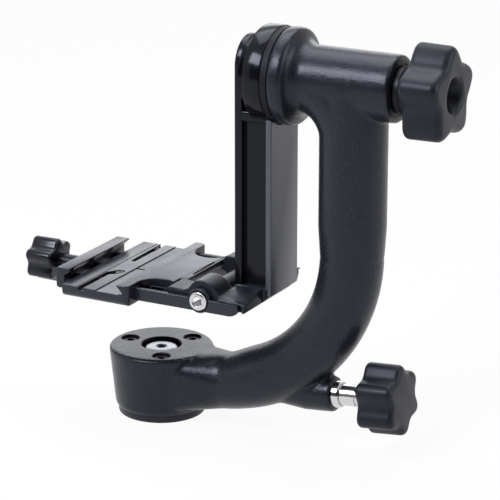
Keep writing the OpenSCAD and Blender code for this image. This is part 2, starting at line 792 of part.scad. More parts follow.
module lens_platform() color("#202126") {
  round_r = 3.4;
  land_x = -16;
  difference() {
    union() {
      // floor plate
      box([floor_x0, -jaw_hy, plat_z0], [land_x, jaw_hy, floor_z]);
      box([land_x - 1, -jaw_hy, plat_z0], [lip_x, jaw_hy, floor_z - 0.6]);
      // fixed jaw
      side_prism(-jaw_hy, jaw_hy) fixed_jaw_side();
      // neck and tail
      translate([0, 0, cheek_z0]) linear_extrude(plat_z1 - cheek_z0) neck_plan();
      // web under the neck, joining the cheeks
      box([jaw_x1 - 1, -cheek_y1, cheek_z0], [22.2, cheek_y1, cheek_z0 + 1]);
      box([21, -ear_y0 + 0.6, plat_z0], [tail_x, ear_y1 - 0.3, plat_z0 + 2.6]);
      // cheeks
      side_prism(-cheek_y1, -cheek_y0) cheek_plan();
      side_prism(cheek_y0, cheek_y1) cheek_plan();
    }
    // rounded horn ends of the fixed jaw
    for (s = [-1, 1]) translate([jaw_x1 - round_r, s * (jaw_hy - round_r), floor_z]) difference() {
      translate([0, s > 0 ? 0 : -10, 0]) cube([10, 10, 10]);
      translate([0, 0, -1]) cylinder(h = 12, r = round_r);
    }
    // groove beside the movable jaw's land, and the two end pockets
    box([-28.4, -jaw_hy - 1, floor_z - 0.5], [-27.9, jaw_hy + 1, floor_z + 1]);
    box([-27.4, -jaw_hy - 1, floor_z - 1.9], [-23.6, -15, floor_z + 1]);
    zcyl(floor_z - 1.9, floor_z + 1, 2.3, -25.3, -14.8);
    translate([-25.3, -14.8, floor_z - 1.9]) rotate(41) box([0, -1.4, 0], [6, 1.4, 3]);
    zcyl(floor_z - 1.9, floor_z + 1, 3.5, -20.4, -10.6);
    zcyl(floor_z - 5, floor_z, 1.5 + fit, -20.4, -10.6);
    box([-26.6, 7, floor_z - 1.9], [-23.4, jaw_hy + 1, floor_z + 1]);
    zcyl(floor_z - 5, floor_z, 1.5 + fit, -25, 38);
    // slot in the tail
    box([25, -8, plat_z1 - 3], [26.4, 17, plat_z1 + 1]);
    // clamp screw and guide pins
    xcyl(floor_x0 - 1, -10, screw_r + fit, 0, screw_z);
    for (s = [-1, 1]) xcyl(floor_x0 - 1, -14, screw_r - 0.5 + fit, s * guide_y, screw_z);
    // hinge
    ycyl(-60, 60, bolt_r + fit, hinge_x, hinge_z);
    ycyl(-cheek_y1 - 1, -cheek_y1 + 1.4, bolt_head_r + 0.35, hinge_x, hinge_z);
  }
}

module stop_screws() color("#b9bbc0") {
  for (p = [[-20.4, -10.6], [-25, 38]]) translate([p[0], p[1], 0]) {
    head_r = p[1] < 0 ? 2.6 : 1.5;
    difference() {
      union() {
        zcyl(floor_z - 1.9, floor_z - 0.3, head_r);
        zcyl(floor_z - 4.8, floor_z - 1, 1.5);
      }
      hex_cut(floor_z - 1.4, floor_z + 1, 1.5);
    }
  }
}

// ---- clamp ---------------------------------------------------------------------------------

module clamp_jaw() color("#26272c") {
  undercut = 3.4;
  chamfer = 1;
  difference() {
    side_prism(-mov_hy, mov_hy) polygon([
      [mov_x0, plat_z0 + chamfer], [mov_x0 + chamfer, plat_z0], [mov_lip_x - undercut, plat_z0],
      [mov_lip_x - undercut, plat_z1 - 0.7 - undercut], [mov_lip_x, plat_z1 - 0.7],
      [mov_lip_x, plat_z1], [mov_x0 + chamfer, plat_z1], [mov_x0, plat_z1 - chamfer]]);
    xcyl(mov_x0 - 1, 0, screw_r + fit, 0, screw_z);
    for (s = [-1, 1]) xcyl(mov_x0 + 1, 0, screw_r - 0.5 + fit, s * guide_y, screw_z);
  }
}

module guide_pins() color("#b9bbc0") {
  for (s = [-1, 1]) xcyl(mov_x0 + 1, -24, screw_r - 0.5, s * guide_y, screw_z);
}

module clamp_screw() color("#c4c6ca") {
  xcyl(-74, -19, screw_r, 0, screw_z);
}

module clamp_knob() color("#17181b") {
  difference() {
    translate([clamp_knob_x + clamp_knob_len, 0, screw_z]) mirror([1, 0, 0])
      grip(clamp_knob_r, clamp_knob_len, clamp_lobes, 1.6);
    xcyl(-75, -60, screw_r + fit, 0, screw_z);
  }
}

module clamp_knob_collar() color("#1c1d20") {
  back = clamp_knob_x + clamp_knob_len;
  difference() {
    turn_x(screw_z) polygon([[0, back], [9.2, back], [8.2, back + 5], [6.4, back + 6],
                             [6.4, mov_x0 - 0.6], [5.8, mov_x0], [0, mov_x0]]);
    xcyl(-75, mov_x0 + 1, screw_r + fit, 0, screw_z);
  }
}

// ---- output --------------------------------------------------------------------------------

base_disc();
pan_spindle();
disc_screws();
brake_drum();
preload_washer();
centre_screw();
support_arm();
pan_bearing_lower();
pan_bearing_upper();
bearing_retainer();
housing_cap_screws();
pan_lock_collar();
tilt_bearing_inner();
tilt_bearing_outer();
friction_ring();
brake_shoe();
pan_lock_rod();
pan_knob();
swing_arm();
tilt_shaft();
shaft_screws();
hinge_bolt();
hinge_nut();
detent_pin();
tilt_knob();
tilt_knob_insert();
tilt_washer();
lens_platform();
stop_screws();
clamp_jaw();
guide_pins();
clamp_screw();
clamp_knob();
clamp_knob_collar();
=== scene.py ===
"""Gimbal tripod head: finished pieces and finishes round its frame, and a small studio."""

import json
import math

import bmesh
import bpy
from bpy.props import (
    FloatProperty,
    FloatVectorProperty,
    IntProperty,
    PointerProperty,
)
from mathutils import Matrix, Vector


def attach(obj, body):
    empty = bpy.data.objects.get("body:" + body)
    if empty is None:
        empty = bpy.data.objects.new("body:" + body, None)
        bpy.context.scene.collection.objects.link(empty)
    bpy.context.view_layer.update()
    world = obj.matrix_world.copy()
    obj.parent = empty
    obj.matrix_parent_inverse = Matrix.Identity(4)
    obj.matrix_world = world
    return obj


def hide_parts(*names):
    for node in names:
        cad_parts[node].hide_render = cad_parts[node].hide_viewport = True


bl_info = {
    "name": "Gimbal Tripod Head",
    "version": (1, 0, 0),
    "blender": (4, 5, 0),
    "location": "View3D > Sidebar > Gimbal Head",
    "description": "Builds the cast, machined and moulded pieces of a gimbal tripod head",
    "category": "Object",
}

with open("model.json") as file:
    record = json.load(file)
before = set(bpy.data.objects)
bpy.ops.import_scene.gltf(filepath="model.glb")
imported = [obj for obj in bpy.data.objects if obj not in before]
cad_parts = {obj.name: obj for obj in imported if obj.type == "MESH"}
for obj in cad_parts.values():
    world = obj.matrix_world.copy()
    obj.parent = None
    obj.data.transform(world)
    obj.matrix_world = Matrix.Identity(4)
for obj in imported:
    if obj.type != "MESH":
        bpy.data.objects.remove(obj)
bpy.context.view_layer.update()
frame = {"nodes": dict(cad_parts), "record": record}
NODES = frame["nodes"]
MM = 0.001
# places and fits in millimetres and degrees, in the frame's axes
TILT_Z = 206.5  # height of the tilt axis
SCREW_Z = 79.1  # height of the clamp screw and the guide pins
PIN_Y = 22  # the guide pins' distance from the middle
HINGE = (45.3, 83.5)  # x and z of the hinge bolt
BOSS = (112.0, 0.0, 28.9)  # middle of the pan lock boss's end
BOSS_TILT = 5.0  # the boss points this far below level
STUD_R = 4.76  # radius of the tripod stud's hole
SCREW_BORE = 3.05  # radius of the holes for hinge bolt and clamp screw
PIN_BORE = 2.55  # radius of the guide pins' holes
HUB_ROOM = 27.15  # radius of the room that the arm leaves round the friction ring


# ---- placing ----


def along_z(x=0.0, y=0.0):
    """Local +Z stays up, with the origin at a point in millimetres."""
    return Matrix.Translation(Vector((x, y, 0)) * MM)


def along_x(z=TILT_Z, x=0.0, y=0.0):
    """Local +Z runs along +X."""
    return Matrix.Translation(Vector((x, y, z)) * MM) @ Matrix.Rotation(math.radians(90), 4, "Y")


def along_y(x, z, y=0.0):
    """Local +Z runs along +Y."""
    return Matrix.Translation(Vector((x, y, z)) * MM) @ Matrix.Rotation(math.radians(-90), 4, "X")


def along_lock():
    """Local +Z runs along the pan lock's axis, from the boss's end outwards."""
    turn = Matrix.Rotation(math.radians(90 - BOSS_TILT), 4, "Y")
    return Matrix.Translation(Vector(BOSS) * MM) @ turn


# ---- shaping ----


def tidy(bm):
    """Merges doubles and turns every face outwards."""
    bmesh.ops.remove_doubles(bm, verts=bm.verts, dist=2e-6)
    bmesh.ops.recalc_face_normals(bm, faces=bm.faces)
    return bm


def lathe(profile, place, steps=96, closed=False):
    """Solid turned from (radius, height) points in millimetres."""
    bm = bmesh.new()
    verts = [bm.verts.new((r * MM, 0, h * MM)) for r, h in profile]
    pairs = list(zip(verts, verts[1:])) + ([(verts[-1], verts[0])] if closed else [])
    edges = [bm.edges.new(pair) for pair in pairs]
    bmesh.ops.spin(
        bm, geom=verts + edges, cent=(0, 0, 0), axis=(0, 0, 1), angle=math.tau, steps=steps,
        use_merge=True
    )
    bmesh.ops.transform(bm, matrix=place, verts=bm.verts)
    return tidy(bm)


def rod(radius, low, high, place, steps=96):
    """Plain round bar, also the cutter for a plain bore."""
    return lathe([(0, low), (radius, low), (radius, high), (0, high)], place, steps)

def rounded(points, radii, steps=5):
    """Outline whose corners are rounded by the given radii; a list of 2-D points in millimetres."""
    out = []
    count = len(points)
    for i, point in enumerate(points):
        radius = radii[i] if isinstance(radii, (list, tuple)) else radii
        here = Vector(point)
        to_last = Vector(points[i - 1]) - here
        to_next = Vector(points[(i + 1) % count]) - here
        if radius <= 0:
            out.append(tuple(here))
            continue
        half = to_last.angle(to_next) / 2
        reach = min(radius / math.tan(half), to_last.length * 0.49, to_next.length * 0.49)
        radius = reach * math.tan(half)
        centre = here + (
            to_last.normalized() + to_next.normalized()
        ).normalized() * (radius / math.sin(half))
        start = here + to_last.normalized() * reach - centre
        end = here + to_next.normalized() * reach - centre
        sweep = start.angle_signed(end)
        for k in range(steps + 1):
            spoke = start.copy()
            spoke.rotate(Matrix.Rotation(-sweep * k / steps, 2))
            out.append(tuple(centre + spoke))
    return out


def rect(x0, y0, x1, y1):
    """Outline of a rectangle between two corners."""
    return [(x0, y0), (x1, y0), (x1, y1), (x0, y1)]


def three_spots(radius, first):
    """Three points on a circle, the first at an angle in degrees, then every 120 degrees."""
    turns = [math.radians(first + 120 * k) for k in range(3)]
    return [(radius * math.cos(t), radius * math.sin(t)) for t in turns]


def raised(outline, low, high):
    """Outline in the X-Y plane given height from low to high, and its upper corners."""
    bm = bmesh.new()
    face = bm.faces.new([bm.verts.new((x * MM, y * MM, low * MM)) for x, y in outline])
    grown = bmesh.ops.extrude_face_region(bm, geom=[face])
    top = [g for g in grown["geom"] if isinstance(g, bmesh.types.BMVert)]
    bmesh.ops.translate(bm, verts=top, vec=(0, 0, (high - low) * MM))
    return bm, top


def soften(bm, rims, radius, segments):
    """Rounds edges."""
    bmesh.ops.bevel(
        bm, geom=rims, offset=radius * MM, offset_type="OFFSET", segments=segments, profile=0.5,
        affect="EDGES", material=-1, clamp_overlap=True,
    )


def prism(outline, low, high, place, edge=0.0, segments=2):
    """Outline in the local X-Y plane given height from low to high, its rims rounded by edge."""
    bm, _ = raised(outline, low, high)
    tidy(bm)
    if edge > 0:
        rims = [e for e in bm.edges if abs(e.verts[0].co.z - e.verts[1].co.z) < 1e-7]
        soften(bm, rims, edge, segments)
    bmesh.ops.transform(bm, matrix=place, verts=bm.verts)
    return tidy(bm)


# planes for a prism: SIDE is X-Z with its height along Y, FRONT is Y-Z with its height along X
SIDE = Matrix(((1, 0, 0, 0), (0, 0, 1, 0), (0, 1, 0, 0), (0, 0, 0, 1)))
FRONT = Matrix(((0, 0, 1, 0), (1, 0, 0, 0), (0, 1, 0, 0), (0, 0, 0, 1)))
PLAN = Matrix.Identity(4)


def bend(radius, centre, start, steps=56, sides=96):
    """Round bar swept back by a right angle about a line along Y, its first ring round start."""
    bm = bmesh.new()
    ring = bmesh.ops.create_circle(bm, cap_ends=True, segments=sides, radius=radius * MM)["verts"]
    offset = (Vector(start) - Vector(centre)).normalized()
    normal = Vector((0, 1, 0)).cross(offset)
    turn = normal.to_track_quat("Z", "Y").to_matrix().to_4x4()
    bmesh.ops.transform(bm, matrix=Matrix.Translation(Vector(start) * MM) @ turn, verts=ring)
    bmesh.ops.spin(
        bm, geom=bm.verts[:] + bm.edges[:] + bm.faces[:], cent=Vector(centre) * MM, axis=(0, 1, 0),
        angle=math.radians(-90), steps=steps,
    )
    return tidy(bm)


def hull_of(*solids):
    """Convex skin round several solids."""
    bm = joined(solids)
    made = bmesh.ops.convex_hull(bm, input=bm.verts)
    loose = [
        g for g in made["geom_interior"] + made["geom_unused"] if isinstance(g, bmesh.types.BMVert)
    ]
    bmesh.ops.delete(bm, geom=list(set(loose)), context="VERTS")
    return tidy(bm)


def joined(solids):
    """One bmesh holding several solids."""
    bm = bmesh.new()
    for solid in solids:
        mesh = bpy.data.meshes.new("part")
        solid.to_mesh(mesh)
        solid.free()
        bm.from_mesh(mesh)
        bpy.data.meshes.remove(mesh)
    return bm


def as_object(name, bm):
    """Object at the origin that holds the bmesh."""
    mesh = bpy.data.meshes.new(name)
    bm.to_mesh(mesh)
    bm.free()
    obj = bpy.data.objects.new(name, mesh)
    bpy.context.scene.collection.objects.link(obj)
    return obj


def settle(obj):
    """Applies the object's modifiers to its mesh."""
    bpy.context.view_layer.update()
    done = bpy.data.meshes.new_from_object(obj.evaluated_get(bpy.context.evaluated_depsgraph_get()))
    old = obj.data
    obj.modifiers.clear()
    obj.data = done
    bpy.data.meshes.remove(old)
    done.name = obj.name
    return obj


def combine(obj, solids, operation):
    """Adds solids to the object or cuts them from it."""
    tools = []
    for solid in solids:
        tool = as_object("tool", solid)
        tool.hide_render = True
        tools.append(tool)
        mod = obj.modifiers.new("tool", "BOOLEAN")
        mod.object = tool
        mod.operation = operation
        mod.solver = "MANIFOLD"
    settle(obj)
    for tool in tools:
        mesh = tool.data
        bpy.data.objects.remove(tool)
        bpy.data.meshes.remove(mesh)
    return obj


def cast(obj, voxel, rounds):
    """Melts the object's solids into one skin with soft corners."""
    mod = obj.modifiers.new("skin", "REMESH")
    mod.mode = "VOXEL"
    mod.voxel_size = voxel * MM
    mod = obj.modifiers.new("soften", "SMOOTH")
    mod.factor = 0.5
    mod.iterations = rounds
    return settle(obj)


def shade(obj, angle):
    """Smooth faces, with the edges over an angle in degrees kept sharp."""
    bm = bmesh.new()
    bm.from_mesh(obj.data)
    bmesh.ops.remove_doubles(bm, verts=bm.verts, dist=1e-6)
    for face in bm.faces:
        face.smooth = True
    limit = math.radians(angle)
    for edge in bm.edges:
        edge.smooth = len(edge.link_faces) == 2 and edge.calc_face_angle(0.0) < limit
    bm.to_mesh(obj.data)
    bm.free()
    return obj


def piece(name, solids, finish_name, body, nodes, cuts=(), angle=32.0, melt=None):
    """A finished piece: joined or melted (voxel, rounds), cut, shaded, painted, on its body."""
    first, *rest = solids
    if melt:
        obj = cast(as_object(name, joined(solids)), *melt)
    else:
        obj = as_object(name, first)
        if rest:
            combine(obj, rest, "UNION")
    if cuts:
        combine(obj, cuts, "DIFFERENCE")
    shade(obj, angle)
    obj.data.materials.clear()
    obj.data.materials.append(materials()[finish_name])
    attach(obj, body)
    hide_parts(*nodes)


def hex_hole(low, high, across, place):
    """Hex socket cutter."""
    reach = across / math.sqrt(3)
    turns = [math.tau * k / 6 for k in range(6)]
    return prism([(reach * math.sin(t), reach * math.cos(t)) for t in turns], low, high, place)


def taken(obj):
    """The object's mesh as a bmesh; the object goes."""
    bm = bmesh.new()
    bm.from_mesh(obj.data)
    bpy.data.objects.remove(obj)
    return bm


# ---- finishes ----


def group(name, ins, outs):
    """Empty shader node group with float (f) or vector (v) sockets."""
    tree = bpy.data.node_groups.new(name, "ShaderNodeTree")
    kinds = {"f": "NodeSocketFloat", "v": "NodeSocketVector"}
    for label, kind, value in ins:
        socket = tree.interface.new_socket(label, in_out="INPUT", socket_type=kinds[kind])
        socket.default_value = value
    for label, kind in outs:
        tree.interface.new_socket(label, in_out="OUTPUT", socket_type=kinds[kind])
    return tree, tree.nodes.new("NodeGroupInput"), tree.nodes.new("NodeGroupOutput")


def node(tree, kind, inputs=None, **settings):
    """New node; its inputs by name or number, where a socket is linked and a value is set."""
    made = tree.nodes.new(kind)
    for key, value in settings.items():
        setattr(made, key, value)
    for key, value in (inputs or {}).items():
        if isinstance(value, bpy.types.NodeSocket):
            tree.links.new(value, made.inputs[key])
        else:
            made.inputs[key].default_value = value
    return made


def noise(tree, vector, scale, detail, roughness=0.5):
    """Noise texture's value."""
    inputs = {"Vector": vector, "Scale": scale, "Detail": detail, "Roughness": roughness}
    return node(tree, "ShaderNodeTexNoise", inputs).outputs["Fac"]


def math_of(tree, operation, first, second):
    """Two values or sockets put through a math node."""
    return node(tree, "ShaderNodeMath", {0: first, 1: second}, operation=operation).outputs[0]


def grain_group():
    """Fine pebbled coat: a height for bump, and a speckle mask."""
    tree, ins, outs = group(
        "Coat grain",
        [("Vector", "v", (0, 0, 0)), ("Size", "f", 1400.0), ("Speckle", "f", 0.5)],
        [("Height", "f"), ("Mask", "f")],
    )
    vector, size = ins.outputs["Vector"], ins.outputs["Size"]
    fine = noise(tree, vector, size, 3.0, 0.62)
    coarse = noise(tree, vector, math_of(tree, "MULTIPLY", size, 0.31), 2.0)
    height = math_of(tree, "MULTIPLY", math_of(tree, "ADD", fine, coarse), 0.5)
    peaks = node(
        tree, "ShaderNodeMapRange", {"Value": fine, "From Min": 0.56, "From Max": 0.72}
    ).outputs[0]
    tree.links.new(height, outs.inputs["Height"])
    tree.links.new(math_of(tree, "MULTIPLY", peaks, ins.outputs["Speckle"]), outs.inputs["Mask"])
    return tree


def handling_group():
    """Slow change of gloss over a surface, as from handling and uneven coating."""
    tree, ins, outs = group(
        "Handling",
        [("Vector", "v", (0, 0, 0)), ("Low", "f", 0.3), ("High", "f", 0.4), ("Size", "f", 60.0)],
        [("Roughness", "f"), ("Mask", "f")],
    )
    cloud = noise(tree, ins.outputs["Vector"], ins.outputs["Size"], 4.0)
    low, high = ins.outputs["Low"], ins.outputs["High"]
    spread = node(
        tree, "ShaderNodeMapRange",
        {"Value": cloud, "From Min": 0.3, "From Max": 0.7, "To Min": low, "To Max": high},
    )
    tree.links.new(spread.outputs[0], outs.inputs["Roughness"])
    tree.links.new(cloud, outs.inputs["Mask"])
    return tree


def lines_group():
    """Lathe or mill marks: fine noise, which a stretched vector turns into bands."""
    tree, ins, outs = group(
        "Tool marks",
        [("Vector", "v", (0, 0, 0)), ("Pitch", "f", 900.0)],
        [("Height", "f")],
    )
    marks = noise(tree, ins.outputs["Vector"], ins.outputs["Pitch"], 2.0)
    tree.links.new(marks, outs.inputs["Height"])
    return tree


GROUPS = {}
COOL_GLINT = (0.84, 0.87, 1.0, 1.0)  # tint of the reflections of paint and mouldings
SPECK = (0.10, 0.10, 0.12, 1.0)  # colour of the coat's speckles
TONE_DARK, TONE_LIGHT = 0.88, 1.12  # range of a colour's slow variation
GRAIN_DEPTH, LINE_DEPTH = 0.2, 0.05  # of the bumps, in millimetres


def colour_mix(tree, share):
    """Mix of two colours: its two colour inputs and its output."""
    mix = node(tree, "ShaderNodeMix", {0: share}, data_type="RGBA")
    first, second = [s for s in mix.inputs if s.type == "RGBA"]
    return first, second, [s for s in mix.outputs if s.type == "RGBA"][0]


def bumped(tree, height, strength, depth, normal):
    """Normal of a bump over another normal, which may be None."""
    inputs = {"Height": height, "Strength": strength, "Distance": depth * MM}
    bump = node(tree, "ShaderNodeBump", inputs)
    if normal:
        tree.links.new(normal, bump.inputs["Normal"])
    return bump.outputs["Normal"]


def finish(
    name, colour, rough, metal=0.0, grain=0.0, grain_size=1400.0, speckle=0.0, lines=0.0,
    stretch=(1, 1, 1), specular=0.5, edge=0.0,
):
    """A material for one finish: slowly varied colour and gloss, speckle, bump, rounded edges."""
    mat = bpy.data.materials.new(name)
    mat.use_nodes = True
    mat.diffuse_color = (*colour, 1.0)
    tree = mat.node_tree
    shader = tree.nodes["Principled BSDF"]
    shader.inputs["Metallic"].default_value = metal
    shader.inputs["Specular IOR Level"].default_value = specular
    if metal == 0:
        shader.inputs["Specular Tint"].default_value = COOL_GLINT
    place = node(tree, "ShaderNodeTexCoord").outputs["Object"]
    handled = node(
        tree, "ShaderNodeGroup", {"Vector": place, "Low": rough[0], "High": rough[1]},
        node_tree=GROUPS["handling"],
    )
    tree.links.new(handled.outputs["Roughness"], shader.inputs["Roughness"])
    dark, light, colour_out = colour_mix(tree, handled.outputs["Mask"])
    dark.default_value = (*(c * TONE_DARK for c in colour), 1)
    light.default_value = (*(min(1, c * TONE_LIGHT) for c in colour), 1)
    normal = None
    if edge > 0:
        normal = node(tree, "ShaderNodeBevel", {"Radius": edge * MM}, samples=4).outputs["Normal"]
    if grain > 0:
        pebbles = node(
            tree, "ShaderNodeGroup", {"Vector": place, "Size": grain_size, "Speckle": speckle},
            node_tree=GROUPS["grain"],
        )
        normal = bumped(tree, pebbles.outputs["Height"], grain, GRAIN_DEPTH, normal)
        if speckle > 0:
            plain, speck, mixed = colour_mix(tree, pebbles.outputs["Mask"])
            tree.links.new(colour_out, plain)
            speck.default_value = SPECK
            colour_out = mixed
    if lines > 0:
        turned = node(tree, "ShaderNodeMapping", {"Vector": place, "Scale": stretch})
        marks = node(
            tree, "ShaderNodeGroup", {"Vector": turned.outputs[0]}, node_tree=GROUPS["lines"]
        )
        normal = bumped(tree, marks.outputs["Height"], lines, LINE_DEPTH, normal)
    if normal:
        tree.links.new(normal, shader.inputs["Normal"])
    tree.links.new(colour_out, shader.inputs["Base Color"])
    return mat


MATERIALS = {}


def materials():
    """The finishes, made once from the panel's colours."""
    if MATERIALS:
        return MATERIALS
    GROUPS.update(grain=grain_group(), handling=handling_group(), lines=lines_group())
    look = bpy.context.scene.gimbal_finish
    MATERIALS.update(
        casting=finish(
            "Powder coat", look.casting, (0.25, 0.31), grain=1.0, grain_size=1100, speckle=0.3,
            specular=0.3,
        ),
        gloss=finish("Gloss paint", look.gloss, (0.13, 0.18), specular=0.24, edge=0.4),
        # lighter grey on the flange: painted reflection of the bright backdrop, added to its
        # rendered gloss
        flange=finish("Flange paint with painted sheen", look.flange, (0.28, 0.34), specular=0.7, edge=0.3),
        foot=finish(
            "Foot coat", look.foot, (0.3, 0.38), grain=0.2, grain_size=2200, specular=0.26
        ),
        satin=finish(
            "Black anodised", look.satin, (0.24, 0.32), lines=0.15, stretch=(1, 0.04, 1),
            specular=0.4, edge=0.25,
        ),
        disc=finish("Disc anodised", look.satin, (0.35, 0.42), specular=0.3, edge=0.25),
        knob=finish(
            "Knob moulding", look.knob, (0.36, 0.44), grain=0.25, grain_size=2600, specular=0.26
        ),
        gloss_knob=finish("Gloss moulding", look.gloss, (0.16, 0.24), specular=0.45, edge=0.3),
        steel=finish(
            "Turned steel", (0.36, 0.37, 0.39), (0.3, 0.38), metal=1.0, lines=0.2, edge=0.1
        ),
        bright=finish(
            "Bright steel", look.steel, (0.16, 0.24), metal=1.0, lines=0.1, edge=0.15
        ),
        black_steel=finish("Black oxide", (0.012, 0.012, 0.014), (0.35, 0.45), specular=0.3),
        friction=finish("Friction ring", (0.008, 0.008, 0.01), (0.5, 0.6), grain=0.3, specular=0.2),
        nylon=finish("Nylon", (0.8, 0.78, 0.7), (0.4, 0.5), grain=0.1),
    )
    return MATERIALS


# ---- settings ----


def size_setting(name, description, default, low, high):
    """Size in millimetres, between two limits."""
    text = description + ", in millimetres"
    return FloatProperty(name=name, description=text, default=default, min=low, max=high)


def count_setting(name, description, default, low, high):
    """Whole number between two limits."""
    return IntProperty(name=name, description=description, default=default, min=low, max=high)


def colour_setting(name, description, default):
    """Colour of a finish."""
    return FloatVectorProperty(
        name=name, description=description, default=default, subtype="COLOR", size=3, min=0, max=1
    )


def light_setting(name, description, default):
    """Power of a light."""
    return FloatProperty(name=name, description=description, default=default, unit="POWER")


class GimbalSizes(bpy.types.PropertyGroup):
    """Sizes of the finished pieces that a user would change."""

    casting_voxel: size_setting("Casting skin", "Mesh size of the cast arm's skin", 0.95, 0.6, 2.5)
    casting_rounds: count_setting(
        "Casting softness", "Rounds of smoothing over the cast arm's corners", 8, 0, 60
    )
    foot_voxel: size_setting("Foot skin", "Mesh size of the arm foot's skin", 0.5, 0.3, 1.5)
    tilt_lobes: count_setting("Tilt knob lobes", "Lobes on the tilt knob", 5, 4, 9)
    pan_lobes: count_setting("Pan knob lobes", "Lobes on the pan lock's knob", 6, 4, 9)
    clamp_lobes: count_setting("Clamp knob lobes", "Lobes on the clamp knob", 6, 5, 12)


class GimbalFinish(bpy.types.PropertyGroup):
    """Colours of the finishes."""

    casting: colour_setting("Casting", "Powder coat of the support arm", (0.012, 0.0135, 0.019))
    gloss: colour_setting("Gloss black", "Paint of the hanging arm", (0.004, 0.0042, 0.006))
    # lighter than the gloss black: painted reflection of the bright backdrop on the flange's face
    flange: colour_setting("Flange", "Paint of the arm's inner flange", (0.062, 0.064, 0.076))
    foot: colour_setting("Foot", "Coat of the hanging arm's foot", (0.012, 0.013, 0.018))
    satin: colour_setting("Anodised", "Anodised platform, jaw and disc", (0.018, 0.019, 0.025))
    knob: colour_setting("Knobs", "Moulding of the two large knobs", (0.012, 0.013, 0.018))
    steel: colour_setting("Bright steel", "Collar, shaft, bolts and pins", (0.66, 0.66, 0.67))


class GimbalStudio(bpy.types.PropertyGroup):
    """Lights, floor and camera."""

    top: light_setting("Top light", "Power of the overhead light", 11.0)
    key: light_setting("Key light", "Power of the light on the left, in front", 19.0)
    right: light_setting("Right light", "Power of the light on the right", 5.0)
    back: light_setting("Back light", "Power of the low light behind the object", 6.0)
    fill: FloatProperty(
        name="Fill", description="Strength of the even surrounding light", default=0.14
    )
    lens: FloatProperty(
        name="Lens", description="Focal length of the camera", default=173.58, unit="CAMERA",
        subtype="DISTANCE_CAMERA",
    )


# ---- pieces ----


class GIMBAL_OT_support_arm(bpy.types.Operator):
    """Cast support arm: housing, leg, elbow, column and tube under one pebbled coat"""

    bl_idname = "gimbal.support_arm"
    bl_label = "Support arm"

    def execute(self, context):
        sizes = context.scene.gimbal_sizes
        # centre line: level leg, quarter circle about (elbow_x, elbow_z), column
        column_x, leg_z, elbow_x, leg_r = 120.4, 26.1, 35.0, 17.6
        elbow_z = leg_z + column_x - elbow_x
        housing = lathe(
            rounded(
                [(0, 3.1), (23.6, 3.1), (26.5, 5.0), (30.0, 39.5), (0, 39.5)],
                [0, 1.5, 2.5, 1.6, 0],
            ),
            along_z(),
        )
        neck = hull_of(
            lathe([(0, 6.6), (24.2, 6.6), (25.6, 20), (25.4, 34.5), (0, 36.2)], along_z()),
            rod(16.2, 0, 0.6, along_x(leg_z - 1.2, 44)),
        )
        elbow = bend(leg_r, (elbow_x, 0, elbow_z), (elbow_x, 0, leg_z))
        for vert in elbow.verts:
            # the leg dips and thins a little where it leaves the housing
            share = max(0.0, min(1.0, (60 - vert.co.x / MM) / 25))
            share = share * share * (3 - 2 * share)
            vert.co.z = (leg_z + (vert.co.z / MM - leg_z) * (1 - 0.1 * share) - 2.3 * share) * MM
            vert.co.y *= 1 - 0.08 * share
        leg = taken(cast(as_object("leg", joined([neck, elbow])), sizes.casting_voxel, 24))
        column = lathe(
            [
                (0, elbow_z - 0.5), (leg_r, elbow_z - 0.5), (17.8, elbow_z + 3),
                (18.6, elbow_z + 16), (18.6, TILT_Z), (0, TILT_Z),
            ],
            along_z(column_x),
        )
        # round inner corner between column and tube
        nook_r = 31.3
        nook_x, nook_z = column_x - 0.3, TILT_Z - nook_r
        nook = bend(18.1, (nook_x - nook_r, 0, nook_z), (nook_x, 0, nook_z))
        tube_r, cove_r, flange_x = 18.3, 8, 89
        cove = [
            (tube_r + cove_r * (1 - math.sin(a)), flange_x + cove_r * (1 - math.cos(a)))
            for a in [math.radians(9 * k) for k in range(1, 11)]
        ]
        tube = lathe(
            [
                (0, 80.6), (25.6, 80.6), (26.5, 81.2), (26.7, 82.2), (26.7, 86.4), (26.3, 88.2),
                (25.2, flange_x), *cove, (tube_r, 146.4), (17.7, 147.4), (16.8, 147.7), (0, 147.7),
            ],
            along_x(),
        )
        boss = lathe(
            [(0, -34), (8, -34), (10.1, -18), (10, -1.2), (9.6, -0.3), (8.8, 0), (0, 0)],
            along_lock(),
        )
        pan_bore = [
            (0, 2), (25.5, 2), (25.5, 8.6), (17.5, 8.6), (17.5, 33.4), (11.35, 33.4), (11.35, 38.9),
            (12.1, 39.7), (12.1, 41), (0, 41),
        ]
        screw_bore = [
            (0, 7.6), (2.6, 7.6), (2.6, 34.2), (5.0, 34.2), (5.0, 38.9), (5.6, 39.6), (5.6, 41),
            (0, 41),
        ]
        tilt_bore = [
            (0, 79), (14, 79), (14, 88), (11.5, 88), (11.5, 140.3), (14, 140.3), (14, 149), (0, 149)
        ]
        lock_bore = [
            (0, -98), (3.45, -98), (3.45, -29.5), (5.05, -29.5), (5.05, -2), (7.55, -2), (7.55, 1),
            (0, 1),
        ]
        cuts = [lathe(pan_bore, along_z())]
        cuts += [lathe(screw_bore, along_z(*spot), 48) for spot in three_spots(20.6, 60)]
        cuts += [lathe(tilt_bore, along_x(), 72), lathe(lock_bore, along_lock(), 64)]
        piece(
            "support_arm_casting", [housing, leg, column, nook, tube, boss], "casting", "support",
            ["support_arm"], cuts, 40, (sizes.casting_voxel, sizes.casting_rounds),
        )
        return {"FINISHED"}


def on_circle(turn, radius):
    """Point on a circle round the middle."""
    return Vector((math.cos(turn), math.sin(turn))) * radius


def crossing(aim, centre, radius, side):
    """How far out a ray crosses a circle's far (1) or near (-1) side; None where it misses."""
    along = centre.dot(aim)
    gap = centre.length_squared - along * along
    if along > 0 and gap < radius * radius:
        return along + side * math.sqrt(radius * radius - gap)
    return None


